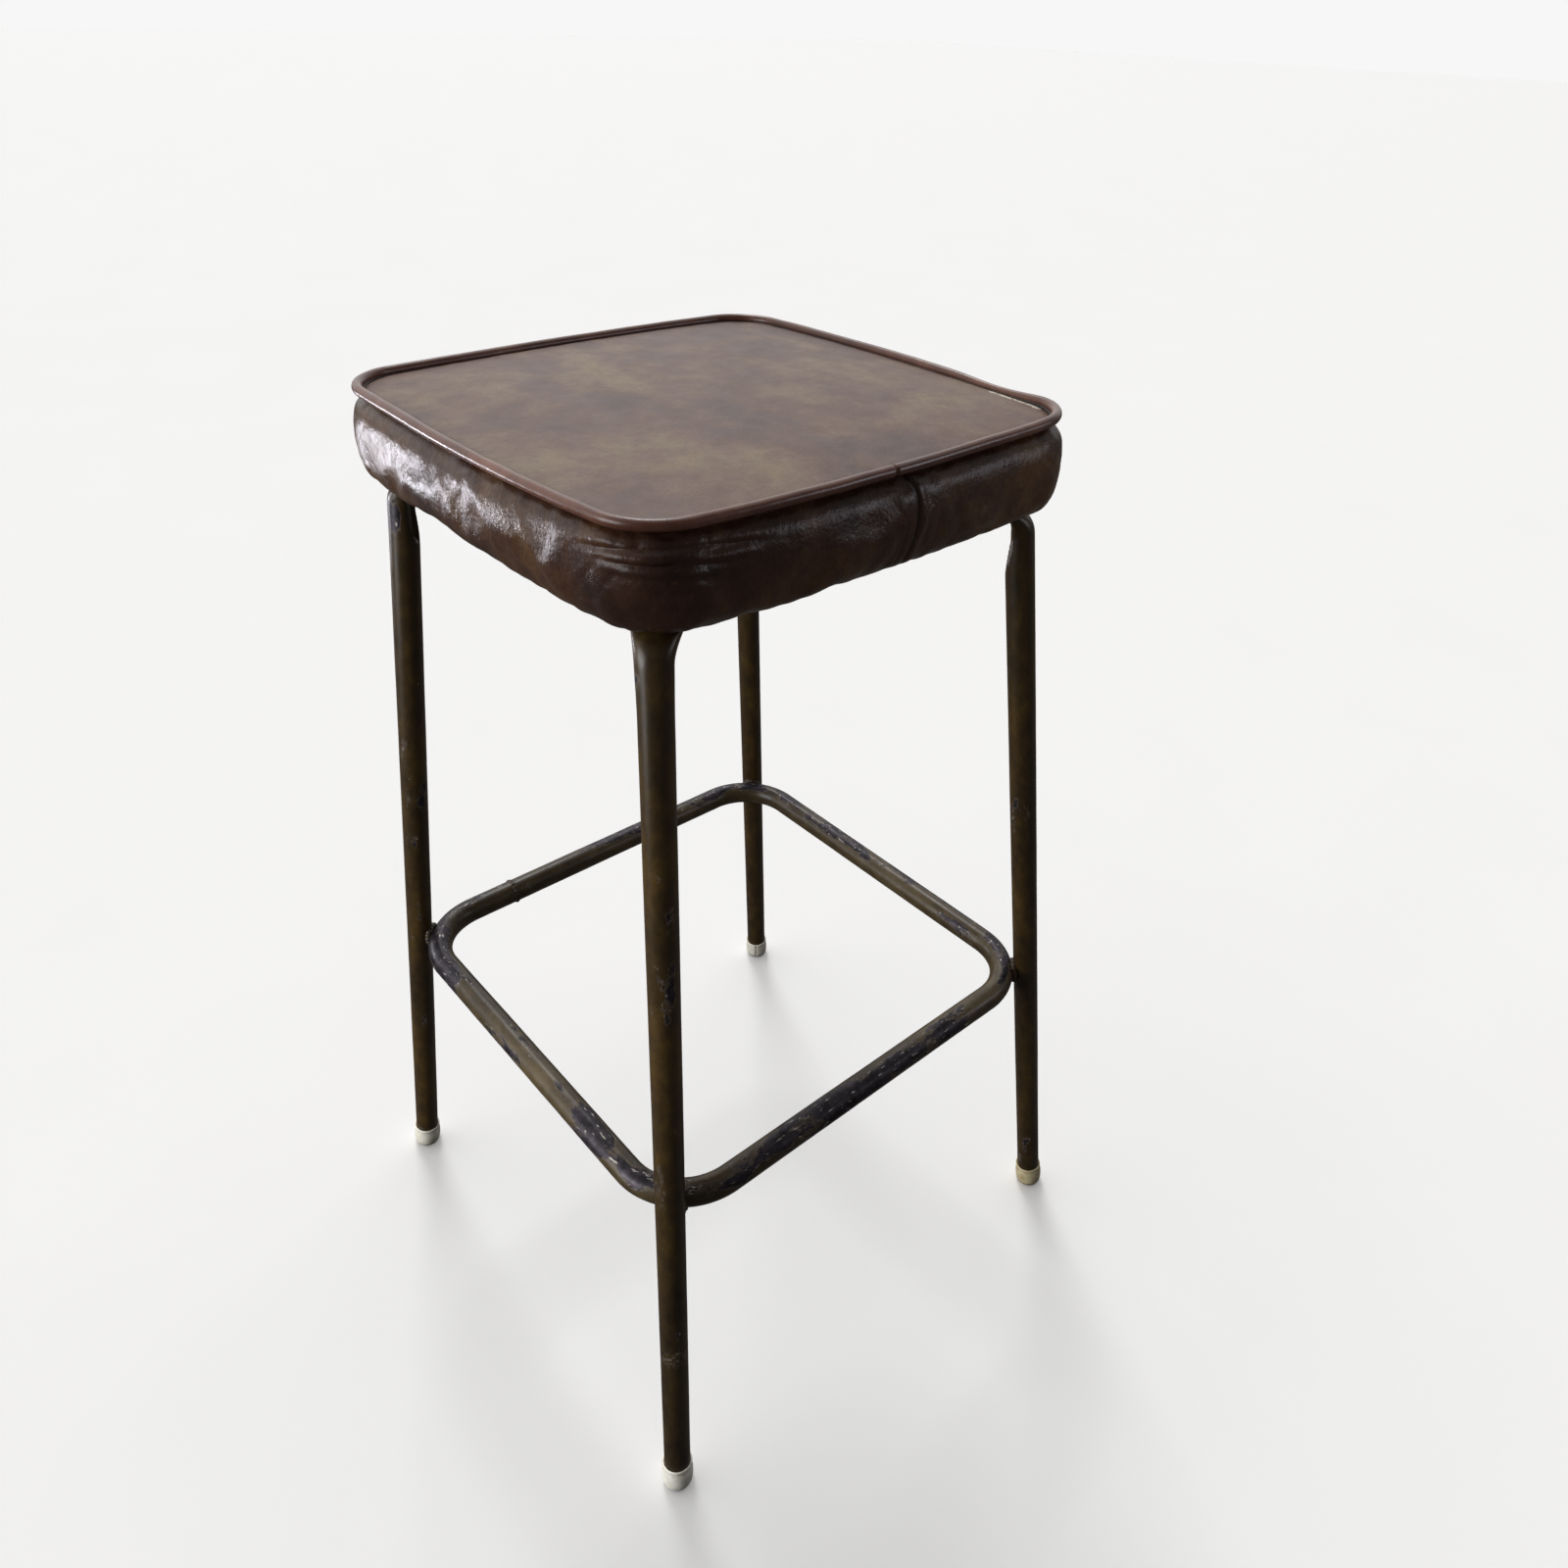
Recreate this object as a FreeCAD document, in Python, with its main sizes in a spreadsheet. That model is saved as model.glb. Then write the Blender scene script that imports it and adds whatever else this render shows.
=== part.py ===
import FreeCAD, Part
import math
import os

# Square bar stool: padded seat on four splayed tube legs, tied by one bent footrest ring.
# Frame: +Z up, origin on the floor under the middle of the seat.
# -Y is the front, the legs stand on the diagonals, and the cover seam is on the +X side.

V = FreeCAD.Vector
Z_AXIS = V(0, 0, 1)

os.makedirs("parts", exist_ok=True)
doc = FreeCAD.newDocument("BarStool")

# ---------------------------------------------------------------- driving dimensions (mm)
DIMENSIONS = {
    "tube_diameter": 19.05,
    "tube_wall": 1.2,
    "foot_half_spacing": 201.5,
    "splay_per_mm": 0.0999,
    "crush_start_height": 600.0,
    "bend_start_height": 632.0,
    "bend_thickness": 12.0,
    "lug_thickness": 3.2,
    "lug_width": 28.0,
    "lug_inner_reach": 147.0,
    "ring_height": 261.4,
    "ring_half_width": 175.5,
    "ring_corner_radius": 48.0,
    "ring_butt_offset": 90.0,
    "ring_butt_gap": 2.4,
    "butt_bead_height": 0.35,
    "weld_radial": 6.0,
    "weld_tangent": 8.5,
    "weld_vertical": 9.0,
    "cap_radius": 11.4,
    "cap_rim_radius": 10.2,
    "cap_height": 22.3,
    "cap_floor": 4.0,
    "cap_dome_depth": 1.8,
    "cap_flat_radius": 7.2,
    "seat_underside": 649.8,
    "seat_half_width": 160.5,
    "seat_corner_radius": 36.0,
    "seat_bow_radius": 1450.0,
    "cover_thickness": 1.2,
    "hem_half_width": 119.0,
    "hem_corner_radius": 6.0,
    "board_width": 286.0,
    "board_corner_radius": 26.0,
    "board_thickness": 12.0,
    "piping_height": 707.0,
    "piping_radius": 3.2,
    "piping_cord_radius": 2.0,
    "piping_joint_offset": -2.0,
    "piping_joint_gap": 0.3,
    "panel_inset": 2.2,
    "panel_crown": 3.0,
    "panel_top": 709.4,
    "bolt_radius_out": 158.0,
    "bolt_diameter": 6.0,
    "bolt_length": 16.0,
    "bolt_head_flats": 10.0,
    "bolt_head_height": 4.0,
    "washer_diameter": 12.0,
    "washer_hole": 6.4,
    "washer_thickness": 1.6,
    "tee_flange_diameter": 19.0,
    "tee_flange_thickness": 1.3,
    "tee_barrel_diameter": 7.8,
    "tee_barrel_length": 9.0,
    "staple_crown": 10.0,
    "staple_width": 1.2,
    "staple_thickness": 0.5,
    "staple_pitch": 36.0,
    "staple_inset": 22.0,
}

sheet = doc.addObject("Spreadsheet::Sheet", "Dimensions")
for row, (alias, value) in enumerate(DIMENSIONS.items(), start=1):
    sheet.set(f"A{row}", alias)
    sheet.set(f"B{row}", str(value))
    sheet.setAlias(f"B{row}", alias)
doc.recompute()


def dim(alias):
    """Value of one spreadsheet cell."""
    return float(sheet.get(alias))


def bind(obj, **expressions):
    """Bind properties of an object to expressions on the spreadsheet's aliases."""
    for prop, expression in expressions.items():
        for alias in sorted(DIMENSIONS, key=len, reverse=True):
            expression = expression.replace(f"<{alias}>", f"Dimensions.{alias}")
        obj.setExpression(prop, expression)


def feature(name, shape, placement=None):
    """A sub-part whose shape is worked out here from the spreadsheet's sizes."""
    obj = doc.addObject("Part::Feature", name)
    obj.Shape = shape
    if placement:
        obj.Placement = placement
    return obj


def boolean(kind, name, base, tool):
    obj = doc.addObject(kind, name)
    obj.Base = base
    obj.Tool = tool
    return obj


def plane(body, role):
    return next(f for f in body.Origin.OriginFeatures if f.Role == role)


def sketch_on(body, name, role, offset=None):
    """A sketch attached to one of the body's own origin planes."""
    sketch = body.newObject("Sketcher::SketchObject", name)
    sketch.AttachmentSupport = [(plane(body, role), "")]
    sketch.MapMode = "FlatFace"
    if offset:
        sketch.AttachmentOffset = FreeCAD.Placement(offset, FreeCAD.Rotation())
    return sketch


def closed_profile(sketch, points):
    """Straight edges through the points, back to the first one."""
    for a, b in zip(points, points[1:] + points[:1]):
        sketch.addGeometry(Part.LineSegment(V(*a, 0), V(*b, 0)), False)


# Leg positions: angle about Z of each leg's diagonal.
CORNERS = {"front_right": -45.0, "rear_right": 45.0, "rear_left": 135.0, "front_left": 225.0}

tube_radius = dim("tube_diameter") / 2
bore_radius = tube_radius - dim("tube_wall")
foot_reach = dim("foot_half_spacing") * math.sqrt(2)
diagonal_slope = dim("splay_per_mm") * math.sqrt(2)
tilt = math.degrees(math.atan(diagonal_slope))


def leg_reach(height):
    """Distance of the leg's axis from the stool's middle line at a height."""
    return foot_reach - diagonal_slope * height


def about_z(angle):
    return FreeCAD.Placement(V(0, 0, 0), FreeCAD.Rotation(Z_AXIS, angle))


# Placement of things that lie along a leg: X outwards, Z up the splayed axis, origin on the floor.
ALONG_LEG = FreeCAD.Placement(V(foot_reach, 0, 0), FreeCAD.Rotation(V(0, 1, 0), -tilt))


# ---------------------------------------------------------------- legs
def crush_width(thickness, diameter):
    """Width of a tube pressed to a thickness with its perimeter kept."""
    perimeter = math.pi * diameter
    return thickness + (perimeter - math.pi * thickness) / 2


def ellipse_wire(centre, along, width, thickness):
    """Elliptical section across the direction along, its width lying along Y."""
    across = V(0, 1, 0).cross(along).normalize()
    if width - thickness < 1e-6:
        return Part.Wire(Part.Circle(centre, along, width / 2).toShape())
    half_width = centre + V(0, width / 2, 0)
    half_thick = centre + across * (thickness / 2)
    return Part.Wire(Part.Ellipse(half_width, half_thick, centre).toShape())


def neck_sections(inset):
    """Sections up the crushed neck, round the bend and into the lug.

    The outer wall keeps on straight and then turns inwards on one arc, and the
    inner wall is dented towards it. An inset of the wall thickness gives the bore.
    """
    up = V(-diagonal_slope, 0, 1).normalize()
    outward = V(1, 0, diagonal_slope).normalize()
    start = V(leg_reach(dim("crush_start_height")), 0, dim("crush_start_height"))
    bend = V(leg_reach(dim("bend_start_height")), 0, dim("bend_start_height"))
    straight = (bend - start).Length
    outer_wall = bend + outward * tube_radius
    top = dim("seat_underside")
    # The arc is tangent to the outer wall and to the level underside of the seat.
    bend_radius = (top - outer_wall.z) / (1 - outward.z)
    arc_centre = outer_wall - outward * bend_radius
    full = dim("tube_diameter")
    pinched = dim("bend_thickness")
    sections = []
    for share, dent in ((0.0, 0.0), (0.12, 0.0), (0.4, 0.28), (0.7, 0.72), (1.0, 0.94)):
        thickness = full + (pinched - full) * dent
        wall = start + up * (straight * share) + outward * tube_radius
        sections.append((wall, outward, up, thickness))
    first = math.degrees(math.asin(outward.z))
    flat = dim("lug_thickness") + 1.0
    for share, thickness in ((0.45, pinched), (0.8, pinched * 0.8)):
        angle = math.radians(first + (90 - first) * share)
        normal = V(math.cos(angle), 0, math.sin(angle))
        along = V(-math.sin(angle), 0, math.cos(angle))
        sections.append((arc_centre + normal * bend_radius, normal, along, thickness))
    for reach, thickness in ((8.0, pinched * 0.55), (20.0, flat)):
        wall = V(arc_centre.x - reach, 0, top)
        sections.append((wall, V(0, 0, 1), V(-1, 0, 0), thickness))
    wires = []
    for wall, normal, along, thickness in sections:
        width = crush_width(thickness, full)
        centre = wall - normal * (thickness / 2)
        hollow = max(thickness - 2 * inset, 0.8)
        wires.append(ellipse_wire(centre, along, width - 2 * inset, hollow))
    return wires


def straight_tube(radius):
    """Round part of the leg, from the floor of its cap to the start of the crushed neck."""
    up = V(-diagonal_slope, 0, 1).normalize()
    foot = V(foot_reach, 0, 0) + up * dim("cap_floor")
    neck = V(leg_reach(dim("crush_start_height")), 0, dim("crush_start_height"))
    return Part.makeCylinder(radius, (neck - foot).Length, foot, up)


def lug_plate():
    """Flat end of the leg, pressed shut, with a rounded tip and a bolt hole."""
    width = dim("lug_width")
    thickness = dim("lug_thickness")
    bottom = dim("seat_underside") - thickness
    tip = dim("lug_inner_reach") + width / 2
    root = dim("bolt_radius_out") + 16.0
    plate = Part.makeBox(root - tip, width, thickness, V(tip, -width / 2, bottom))
    plate = plate.fuse(Part.makeCylinder(width / 2, thickness, V(tip, 0, bottom)))
    return plate.removeSplitter()


def leg_shape():
    outer = straight_tube(tube_radius)
    outer = outer.fuse(Part.makeLoft(neck_sections(0.0), True)).fuse(lug_plate())
    bore = straight_tube(bore_radius)
    bore = bore.fuse(Part.makeLoft(neck_sections(dim("tube_wall")), True))
    tip = dim("lug_inner_reach") - 1.0
    root = dim("bolt_radius_out") + 8.0
    closed_end = Part.makeBox(root - tip, 60, 40, V(tip, -30, dim("seat_underside") - 30))
    hole = Part.makeCylinder(
        dim("washer_hole") / 2, 20, V(dim("bolt_radius_out"), 0, dim("seat_underside") - 10)
    )
    above_seat = Part.makeBox(120, 60, 20, V(tip - 20, -30, dim("seat_underside")))
    return outer.cut(bore.cut(closed_end)).cut(hole).cut(above_seat)


one_leg = leg_shape()
nodes = []
for corner, angle in CORNERS.items():
    nodes.append(feature(f"leg_{corner}", one_leg.copy(), about_z(angle)))


# ---------------------------------------------------------------- footrest ring
def build_ring():
    """One tube bent into a rounded square, its two ends meeting on the left side."""
    body = doc.addObject("PartDesign::Body", "footrest_ring")
    half = dim("ring_half_width")
    bend = dim("ring_corner_radius")
    straight = half - bend
    joint = -dim("ring_butt_offset")
    gap = dim("ring_butt_gap") / 2
    spine = sketch_on(body, "RingSpine", "XY_Plane", V(0, 0, dim("ring_height")))
    bind(spine, **{"AttachmentOffset.Base.z": "<ring_height>"})
    # Anticlockwise from the joint: down the left side, then round the four corners.
    edges = [Part.LineSegment(V(-half, joint - gap, 0), V(-half, -straight, 0))]
    for turn in range(4):
        middle = math.radians(225 + 90 * turn)
        centre = V(math.copysign(straight, math.cos(middle)), math.copysign(straight, math.sin(middle)), 0)
        start = middle - math.pi / 4
        circle = Part.Circle(centre, Z_AXIS, bend)
        edges.append(Part.ArcOfCircle(circle, start, start + math.pi / 2))
        if turn < 3:
            leave = centre + V(math.cos(start + math.pi / 2), math.sin(start + math.pi / 2), 0) * bend
            run = V(-math.sin(start + math.pi / 2), math.cos(start + math.pi / 2), 0) * (2 * straight)
            edges.append(Part.LineSegment(leave, leave + run))
    edges.append(Part.LineSegment(V(-half, straight, 0), V(-half, joint + gap, 0)))
    for edge in edges:
        spine.addGeometry(edge, False)
    section = sketch_on(body, "TubeSection", "XZ_Plane", V(0, 0, -(joint - gap)))
    centre = V(-half, dim("ring_height"), 0)
    section.addGeometry(Part.Circle(centre, Z_AXIS, tube_radius), False)
    section.addGeometry(Part.Circle(centre, Z_AXIS, bore_radius), False)
    pipe = body.newObject("PartDesign::AdditivePipe", "RingTube")
    pipe.Profile = section
    pipe.Spine = spine
    body.Tip = pipe
    return body


nodes.append(build_ring())


def build_butt_weld():
    """Weld bead that closes the ring, slightly proud of the tube."""
    direction = FreeCAD.Rotation(V(1, 0, 0), 90)
    gap = dim("ring_butt_gap")
    place = V(-dim("ring_half_width"), -dim("ring_butt_offset") + gap / 2, dim("ring_height"))
    bead = doc.addObject("Part::Cylinder", "ButtBead")
    bind(bead, Radius="<tube_diameter> / 2 + <butt_bead_height>", Height="<ring_butt_gap>")
    bore = doc.addObject("Part::Cylinder", "ButtBore")
    bind(bore, Radius="<tube_diameter> / 2 - <tube_wall>", Height="<ring_butt_gap>")
    for obj in (bead, bore):
        obj.Placement = FreeCAD.Placement(place, direction)
    return boolean("Part::Cut", "ring_butt_weld", bead, bore)


nodes.append(build_butt_weld())


def build_corner_weld(corner, angle):
    """Weld collar that fills the joint between the ring's corner and the leg."""
    half = dim("ring_half_width")
    bend = dim("ring_corner_radius")
    height = dim("ring_height")
    ring_reach = (half - bend) * math.sqrt(2) + bend
    joint_reach = (ring_reach + leg_reach(height)) / 2
    turn = about_z(angle)
    lump = doc.addObject("Part::Ellipsoid", f"WeldLump_{corner}")
    bind(lump, Radius1="<weld_vertical>", Radius2="<weld_radial>", Radius3="<weld_tangent>")
    lump.Placement = turn.multiply(FreeCAD.Placement(V(joint_reach, 0, height), FreeCAD.Rotation()))
    leg = doc.addObject("Part::Cylinder", f"WeldLegSide_{corner}")
    bind(leg, Radius="<tube_diameter> / 2", Height="<ring_height> * 2")
    leg.Placement = turn.multiply(ALONG_LEG)
    ring = doc.addObject("Part::Torus", f"WeldRingSide_{corner}")
    bind(ring, Radius1="<ring_corner_radius>", Radius2="<tube_diameter> / 2")
    centre = V((half - bend) * math.sqrt(2), 0, height)
    ring.Placement = turn.multiply(FreeCAD.Placement(centre, FreeCAD.Rotation()))
    trimmed = boolean("Part::Cut", f"WeldTrim_{corner}", lump, leg)
    return boolean("Part::Cut", f"ring_weld_{corner}", trimmed, ring)


for corner, angle in CORNERS.items():
    nodes.append(build_corner_weld(corner, angle))


# ---------------------------------------------------------------- foot caps
def build_foot_cap(corner, angle):
    """Push-on plastic ferrule with a domed bottom, worn level where it meets the floor."""
    body = doc.addObject("PartDesign::Body", f"CapBody_{corner}")
    sketch = sketch_on(body, f"CapProfile_{corner}", "XZ_Plane")
    outer = dim("cap_radius")
    socket = tube_radius
    height = dim("cap_height")
    floor = dim("cap_floor")
    dome = -dim("cap_dome_depth")
    flat = dim("cap_flat_radius")
    rim = dim("cap_rim_radius")
    profile = [
        (0, dome), (flat, dome), (outer - 2.0, dome + 1.4), (outer - 0.8, dome + 3.8),
        (outer - 0.2, dome + 7.3), (outer, 8.5), (outer - 0.1, height - 9.0), (outer - 0.6, height - 5.0),
        (rim, height), (socket, height), (socket, floor), (0, floor),
    ]
    closed_profile(sketch, profile)
    turned = body.newObject("PartDesign::Revolution", f"CapTurned_{corner}")
    turned.Profile = sketch
    turned.ReferenceAxis = (sketch, ["V_Axis"])
    turned.Angle = 360.0
    body.Tip = turned
    turn = about_z(angle)
    body.Placement = turn.multiply(ALONG_LEG)
    ground = doc.addObject("Part::Box", f"Ground_{corner}")
    bind(ground, Length="<cap_radius> * 4", Width="<cap_radius> * 4", Height="<cap_radius> * 2")
    reach = FreeCAD.Placement(V(foot_reach - 2 * outer, -2 * outer, -2 * outer), FreeCAD.Rotation())
    ground.Placement = turn.multiply(reach)
    return boolean("Part::Cut", f"foot_cap_{corner}", body, ground)


for corner, angle in CORNERS.items():
    nodes.append(build_foot_cap(corner, angle))


# ---------------------------------------------------------------- seat outline
def seat_outline(offset, height, gap_at=None, gap=0.0):
    """Rounded square with slightly bowed sides, as eight tangent arcs.

    The offset is outwards from the piping's centre line. With gap_at, the loop
    is left open by gap at that Y on the +X side.
    """
    half = dim("seat_half_width") + offset
    corner = dim("seat_corner_radius") + offset
    bow = dim("seat_bow_radius") + offset
    bow_centre = half - bow
    corner_at = (bow_centre + math.sqrt(2 * (bow - corner) ** 2 - bow_centre ** 2)) / 2
    lean = math.atan2(corner_at, corner_at - bow_centre)

    def side_point(angle):
        return V(bow_centre + bow * math.cos(angle), bow * math.sin(angle), height)

    def corner_point(angle):
        return V(corner_at + corner * math.cos(angle), corner_at + corner * math.sin(angle), height)

    edges = []
    start = -lean
    if gap_at is not None:
        start = math.asin((gap_at + gap / 2) / bow)
    for quarter in range(4):
        turn = about_z(90 * quarter).Rotation
        side = [side_point(start), side_point((start + lean) / 2), side_point(lean)]
        bend = [corner_point(lean), corner_point(math.pi / 4), corner_point(math.pi / 2 - lean)]
        for points in (side, bend):
            edges.append(Part.Arc(*[turn.multVec(p) for p in points]).toShape())
        start = -lean
    if gap_at is not None:
        stop = math.asin((gap_at - gap / 2) / bow)
        side = [side_point(-lean), side_point((stop - lean) / 2), side_point(stop)]
        edges.append(Part.Arc(*side).toShape())
    return Part.Wire(edges)


def prism(offset, bottom, top):
    return Part.Face(seat_outline(offset, bottom)).extrude(V(0, 0, top - bottom))


# Cross-section of the side of the seat: height above the underside, and offset outwards
# from the piping's centre line. It is rolled under at the board and bulges at mid-height.
SIDE_SECTION = [
    (0.0, -11.0), (1.6, -6.0), (4.0, -2.2), (7.5, 1.2), (12.5, 3.6),
    (21.0, 5.2), (33.0, 5.8), (44.0, 4.8), (51.7, 2.4), (57.2, -0.5),
]


def padded_block(inset):
    """The seat's outer form, or with an inset the space inside its cover."""
    under = dim("seat_underside")
    last = len(SIDE_SECTION) - 1
    wires = []
    for i, (rise, out) in enumerate(SIDE_SECTION):
        lift = inset * (1 - i / last) if i < 3 else 0.0
        wires.append(seat_outline(out - inset, under + rise + lift))
    return Part.makeLoft(wires, True)


underside = dim("seat_underside")
cover = dim("cover_thickness")
board_top = underside + cover + dim("board_thickness")


# ---------------------------------------------------------------- piping round the top seam
def swept_round(radius):
    """Round bar along the piping's centre line, open at the joint on the right side."""
    path = seat_outline(0.0, dim("piping_height"), dim("piping_joint_offset"), dim("piping_joint_gap"))
    first = path.OrderedEdges[0]
    start = path.OrderedVertexes[0].Point
    tangent = first.tangentAt(first.FirstParameter)
    circle = Part.Wire(Part.Circle(start, tangent, radius).toShape())
    return path.makePipeShell([circle], True, False)


piping_solid = swept_round(dim("piping_radius"))
cord_solid = swept_round(dim("piping_cord_radius"))
nodes.append(feature("piping", piping_solid.cut(cord_solid)))
nodes.append(feature("piping_cord", cord_solid))


# ---------------------------------------------------------------- cover, foam and board
def under_crown(drop):
    """Block whose top is the crowned top of the seat, lowered by drop.

    The crown is a parabola both ways, panel_crown lower at the middle of each side.
    """
    reach = 1.2 * dim("seat_half_width")
    bend = dim("panel_crown") * 1.2 ** 2
    surface = Part.BezierSurface()
    surface.increase(2, 2)
    for i, (x, rise_x) in enumerate([(-reach, -bend), (0.0, bend), (reach, -bend)], start=1):
        for j, (y, rise_y) in enumerate([(-reach, -bend), (0.0, bend), (reach, -bend)], start=1):
            surface.setPole(i, j, V(x, y, dim("panel_top") - drop + rise_x + rise_y))
    return surface.toShape().extrude(V(0, 0, board_top - dim("panel_top") - 10))


def side_band():
    """Vinyl strip round the side, turned in under the board as a hem."""
    band = padded_block(0.0).cut(padded_block(cover))
    half = dim("hem_half_width")
    window = Part.makeBox(2 * half, 2 * half, 4 * cover, V(-half, -half, underside - cover))
    uprights = [e for e in window.Edges if abs(e.tangentAt(0).z) > 0.9]
    window = window.makeFillet(dim("hem_corner_radius"), uprights)
    return band.cut(window).cut(piping_solid)


def top_panel():
    """Crowned vinyl panel inside the piping."""
    block = prism(-dim("panel_inset"), board_top, dim("panel_top") + 5)
    return block.common(under_crown(0.0)).cut(under_crown(cover)).cut(piping_solid)


def tee_flanges():
    """Space that the tee nuts' flanges take out of the foam."""
    discs = []
    for angle in CORNERS.values():
        centre = about_z(angle).multVec(V(dim("bolt_radius_out"), 0, board_top))
        radius = dim("tee_flange_diameter") / 2
        discs.append(Part.makeCylinder(radius, dim("tee_flange_thickness"), centre))
    return discs


def foam_pad():
    """Foam block between the board and the cover."""
    above_board = prism(20.0, board_top, dim("panel_top") + 5)
    foam = padded_block(cover).common(above_board).common(under_crown(cover))
    return foam.cut(tee_flanges()).cut(piping_solid)


nodes.append(feature("cover_side_band", side_band()))
nodes.append(feature("cover_top_panel", top_panel()))
nodes.append(feature("seat_foam", foam_pad()))


def build_board():
    """Plywood seat board with a hole near each corner for a tee nut."""
    body = doc.addObject("PartDesign::Body", "seat_board")
    outline = sketch_on(body, "BoardOutline", "XY_Plane", V(0, 0, underside + cover))
    bind(outline, **{"AttachmentOffset.Base.z": "<seat_underside> + <cover_thickness>"})
    half = dim("board_width") / 2
    closed_profile(outline, [(-half, -half), (half, -half), (half, half), (-half, half)])
    pad = body.newObject("PartDesign::Pad", "BoardPad")
    pad.Profile = outline
    bind(pad, Length="<board_thickness>")
    doc.recompute()
    uprights = [
        f"Edge{i}" for i, edge in enumerate(pad.Shape.Edges, start=1)
        if abs(edge.Vertexes[0].Z - edge.Vertexes[1].Z) > 1
    ]
    rounded = body.newObject("PartDesign::Fillet", "BoardCorners")
    rounded.Base = (pad, uprights)
    bind(rounded, Radius="<board_corner_radius>")
    doc.recompute()
    solid_volume = rounded.Shape.Volume
    spot = sketch_on(body, "TeeNutSpot", "XY_Plane", V(0, 0, underside + cover))
    reach = dim("bolt_radius_out") / math.sqrt(2)
    spot.addGeometry(Part.Circle(V(reach, reach, 0), Z_AXIS, dim("tee_barrel_diameter") / 2), False)
    hole = body.newObject("PartDesign::Pocket", "TeeNutHole")
    hole.Profile = spot
    hole.Type = "ThroughAll"
    hole.Reversed = True
    doc.recompute()
    assert hole.Shape.Volume < solid_volume - 1, "the tee nut hole misses the board"
    pattern = body.newObject("PartDesign::PolarPattern", "TeeNutHoles")
    pattern.Originals = [hole]
    pattern.Axis = (plane(body, "Z_Axis"), [""])
    pattern.Angle = 360
    pattern.Occurrences = len(CORNERS)
    body.Tip = pattern
    return body


nodes.append(build_board())


# ---------------------------------------------------------------- fasteners
def at_bolts(shape):
    """The shape, made on the bolt circle along +X, repeated at the four legs."""
    copies = []
    for angle in CORNERS.values():
        copy = shape.copy()
        copy.Placement = about_z(angle)
        copies.append(copy)
    return Part.makeCompound(copies)


def bolt():
    """Hex bolt up through the washer and the lug into the tee nut."""
    x = dim("bolt_radius_out")
    seat = underside - dim("lug_thickness") - dim("washer_thickness")
    head_radius = dim("bolt_head_flats") / math.sqrt(3)
    corners = []
    for k in range(7):
        angle = math.radians(60 * k)
        corners.append(V(x + head_radius * math.cos(angle), head_radius * math.sin(angle), seat))
    head = Part.Face(Part.makePolygon(corners)).extrude(V(0, 0, -dim("bolt_head_height")))
    return head.fuse(Part.makeCylinder(dim("bolt_diameter") / 2, dim("bolt_length"), V(x, 0, seat)))


def washer():
    base = V(dim("bolt_radius_out"), 0, underside - dim("lug_thickness") - dim("washer_thickness"))
    disc = Part.makeCylinder(dim("washer_diameter") / 2, dim("washer_thickness"), base)
    return disc.cut(Part.makeCylinder(dim("washer_hole") / 2, dim("washer_thickness"), base))


def tee_nut():
    """Flange on the board under the foam and threaded barrel down its hole."""
    top = V(dim("bolt_radius_out"), 0, board_top)
    flange = Part.makeCylinder(dim("tee_flange_diameter") / 2, dim("tee_flange_thickness"), top)
    barrel_length = dim("tee_barrel_length")
    foot = top - V(0, 0, barrel_length)
    barrel = Part.makeCylinder(dim("tee_barrel_diameter") / 2, barrel_length, foot)
    bore = Part.makeCylinder(dim("bolt_diameter") / 2, barrel_length + 5, foot)
    return flange.fuse(barrel).cut(bore)


def staples():
    """Wire staples that hold the hem to the board, five to a side."""
    length = dim("staple_crown")
    width = dim("staple_width")
    out = dim("seat_half_width") - dim("staple_inset")
    solids = []
    for quarter in range(4):
        for k in (-2, -1, 0, 1, 2):
            corner = V(out, k * dim("staple_pitch") - length / 2, underside - dim("staple_thickness"))
            crown = Part.makeBox(width, length, dim("staple_thickness"), corner)
            crown.Placement = about_z(90 * quarter)
            solids.append(crown)
    return Part.makeCompound(solids)


nodes.append(feature("leg_bolts", at_bolts(bolt())))
nodes.append(feature("leg_bolt_washers", at_bolts(washer())))
nodes.append(feature("tee_nuts", at_bolts(tee_nut())))
nodes.append(feature("hem_staples", staples()))

# ---------------------------------------------------------------- check and export
doc.recompute()
for obj in doc.Objects:
    if "Invalid" in obj.State or "Error" in obj.State:
        raise RuntimeError(f"{obj.Name} failed: {obj.State}")
for node in nodes:
    shape = node.Shape
    if shape.isNull() or not shape.isValid() or not shape.Solids:
        raise RuntimeError(f"{node.Label} has no valid solid")
    shape.exportStep(f"parts/{node.Label}.step")
    print(f"{node.Label:24s} solids {len(shape.Solids):2d}  volume {shape.Volume:10.1f}")
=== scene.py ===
import math

import bpy
import numpy as np
from mathutils import Matrix, Vector, noise


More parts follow.
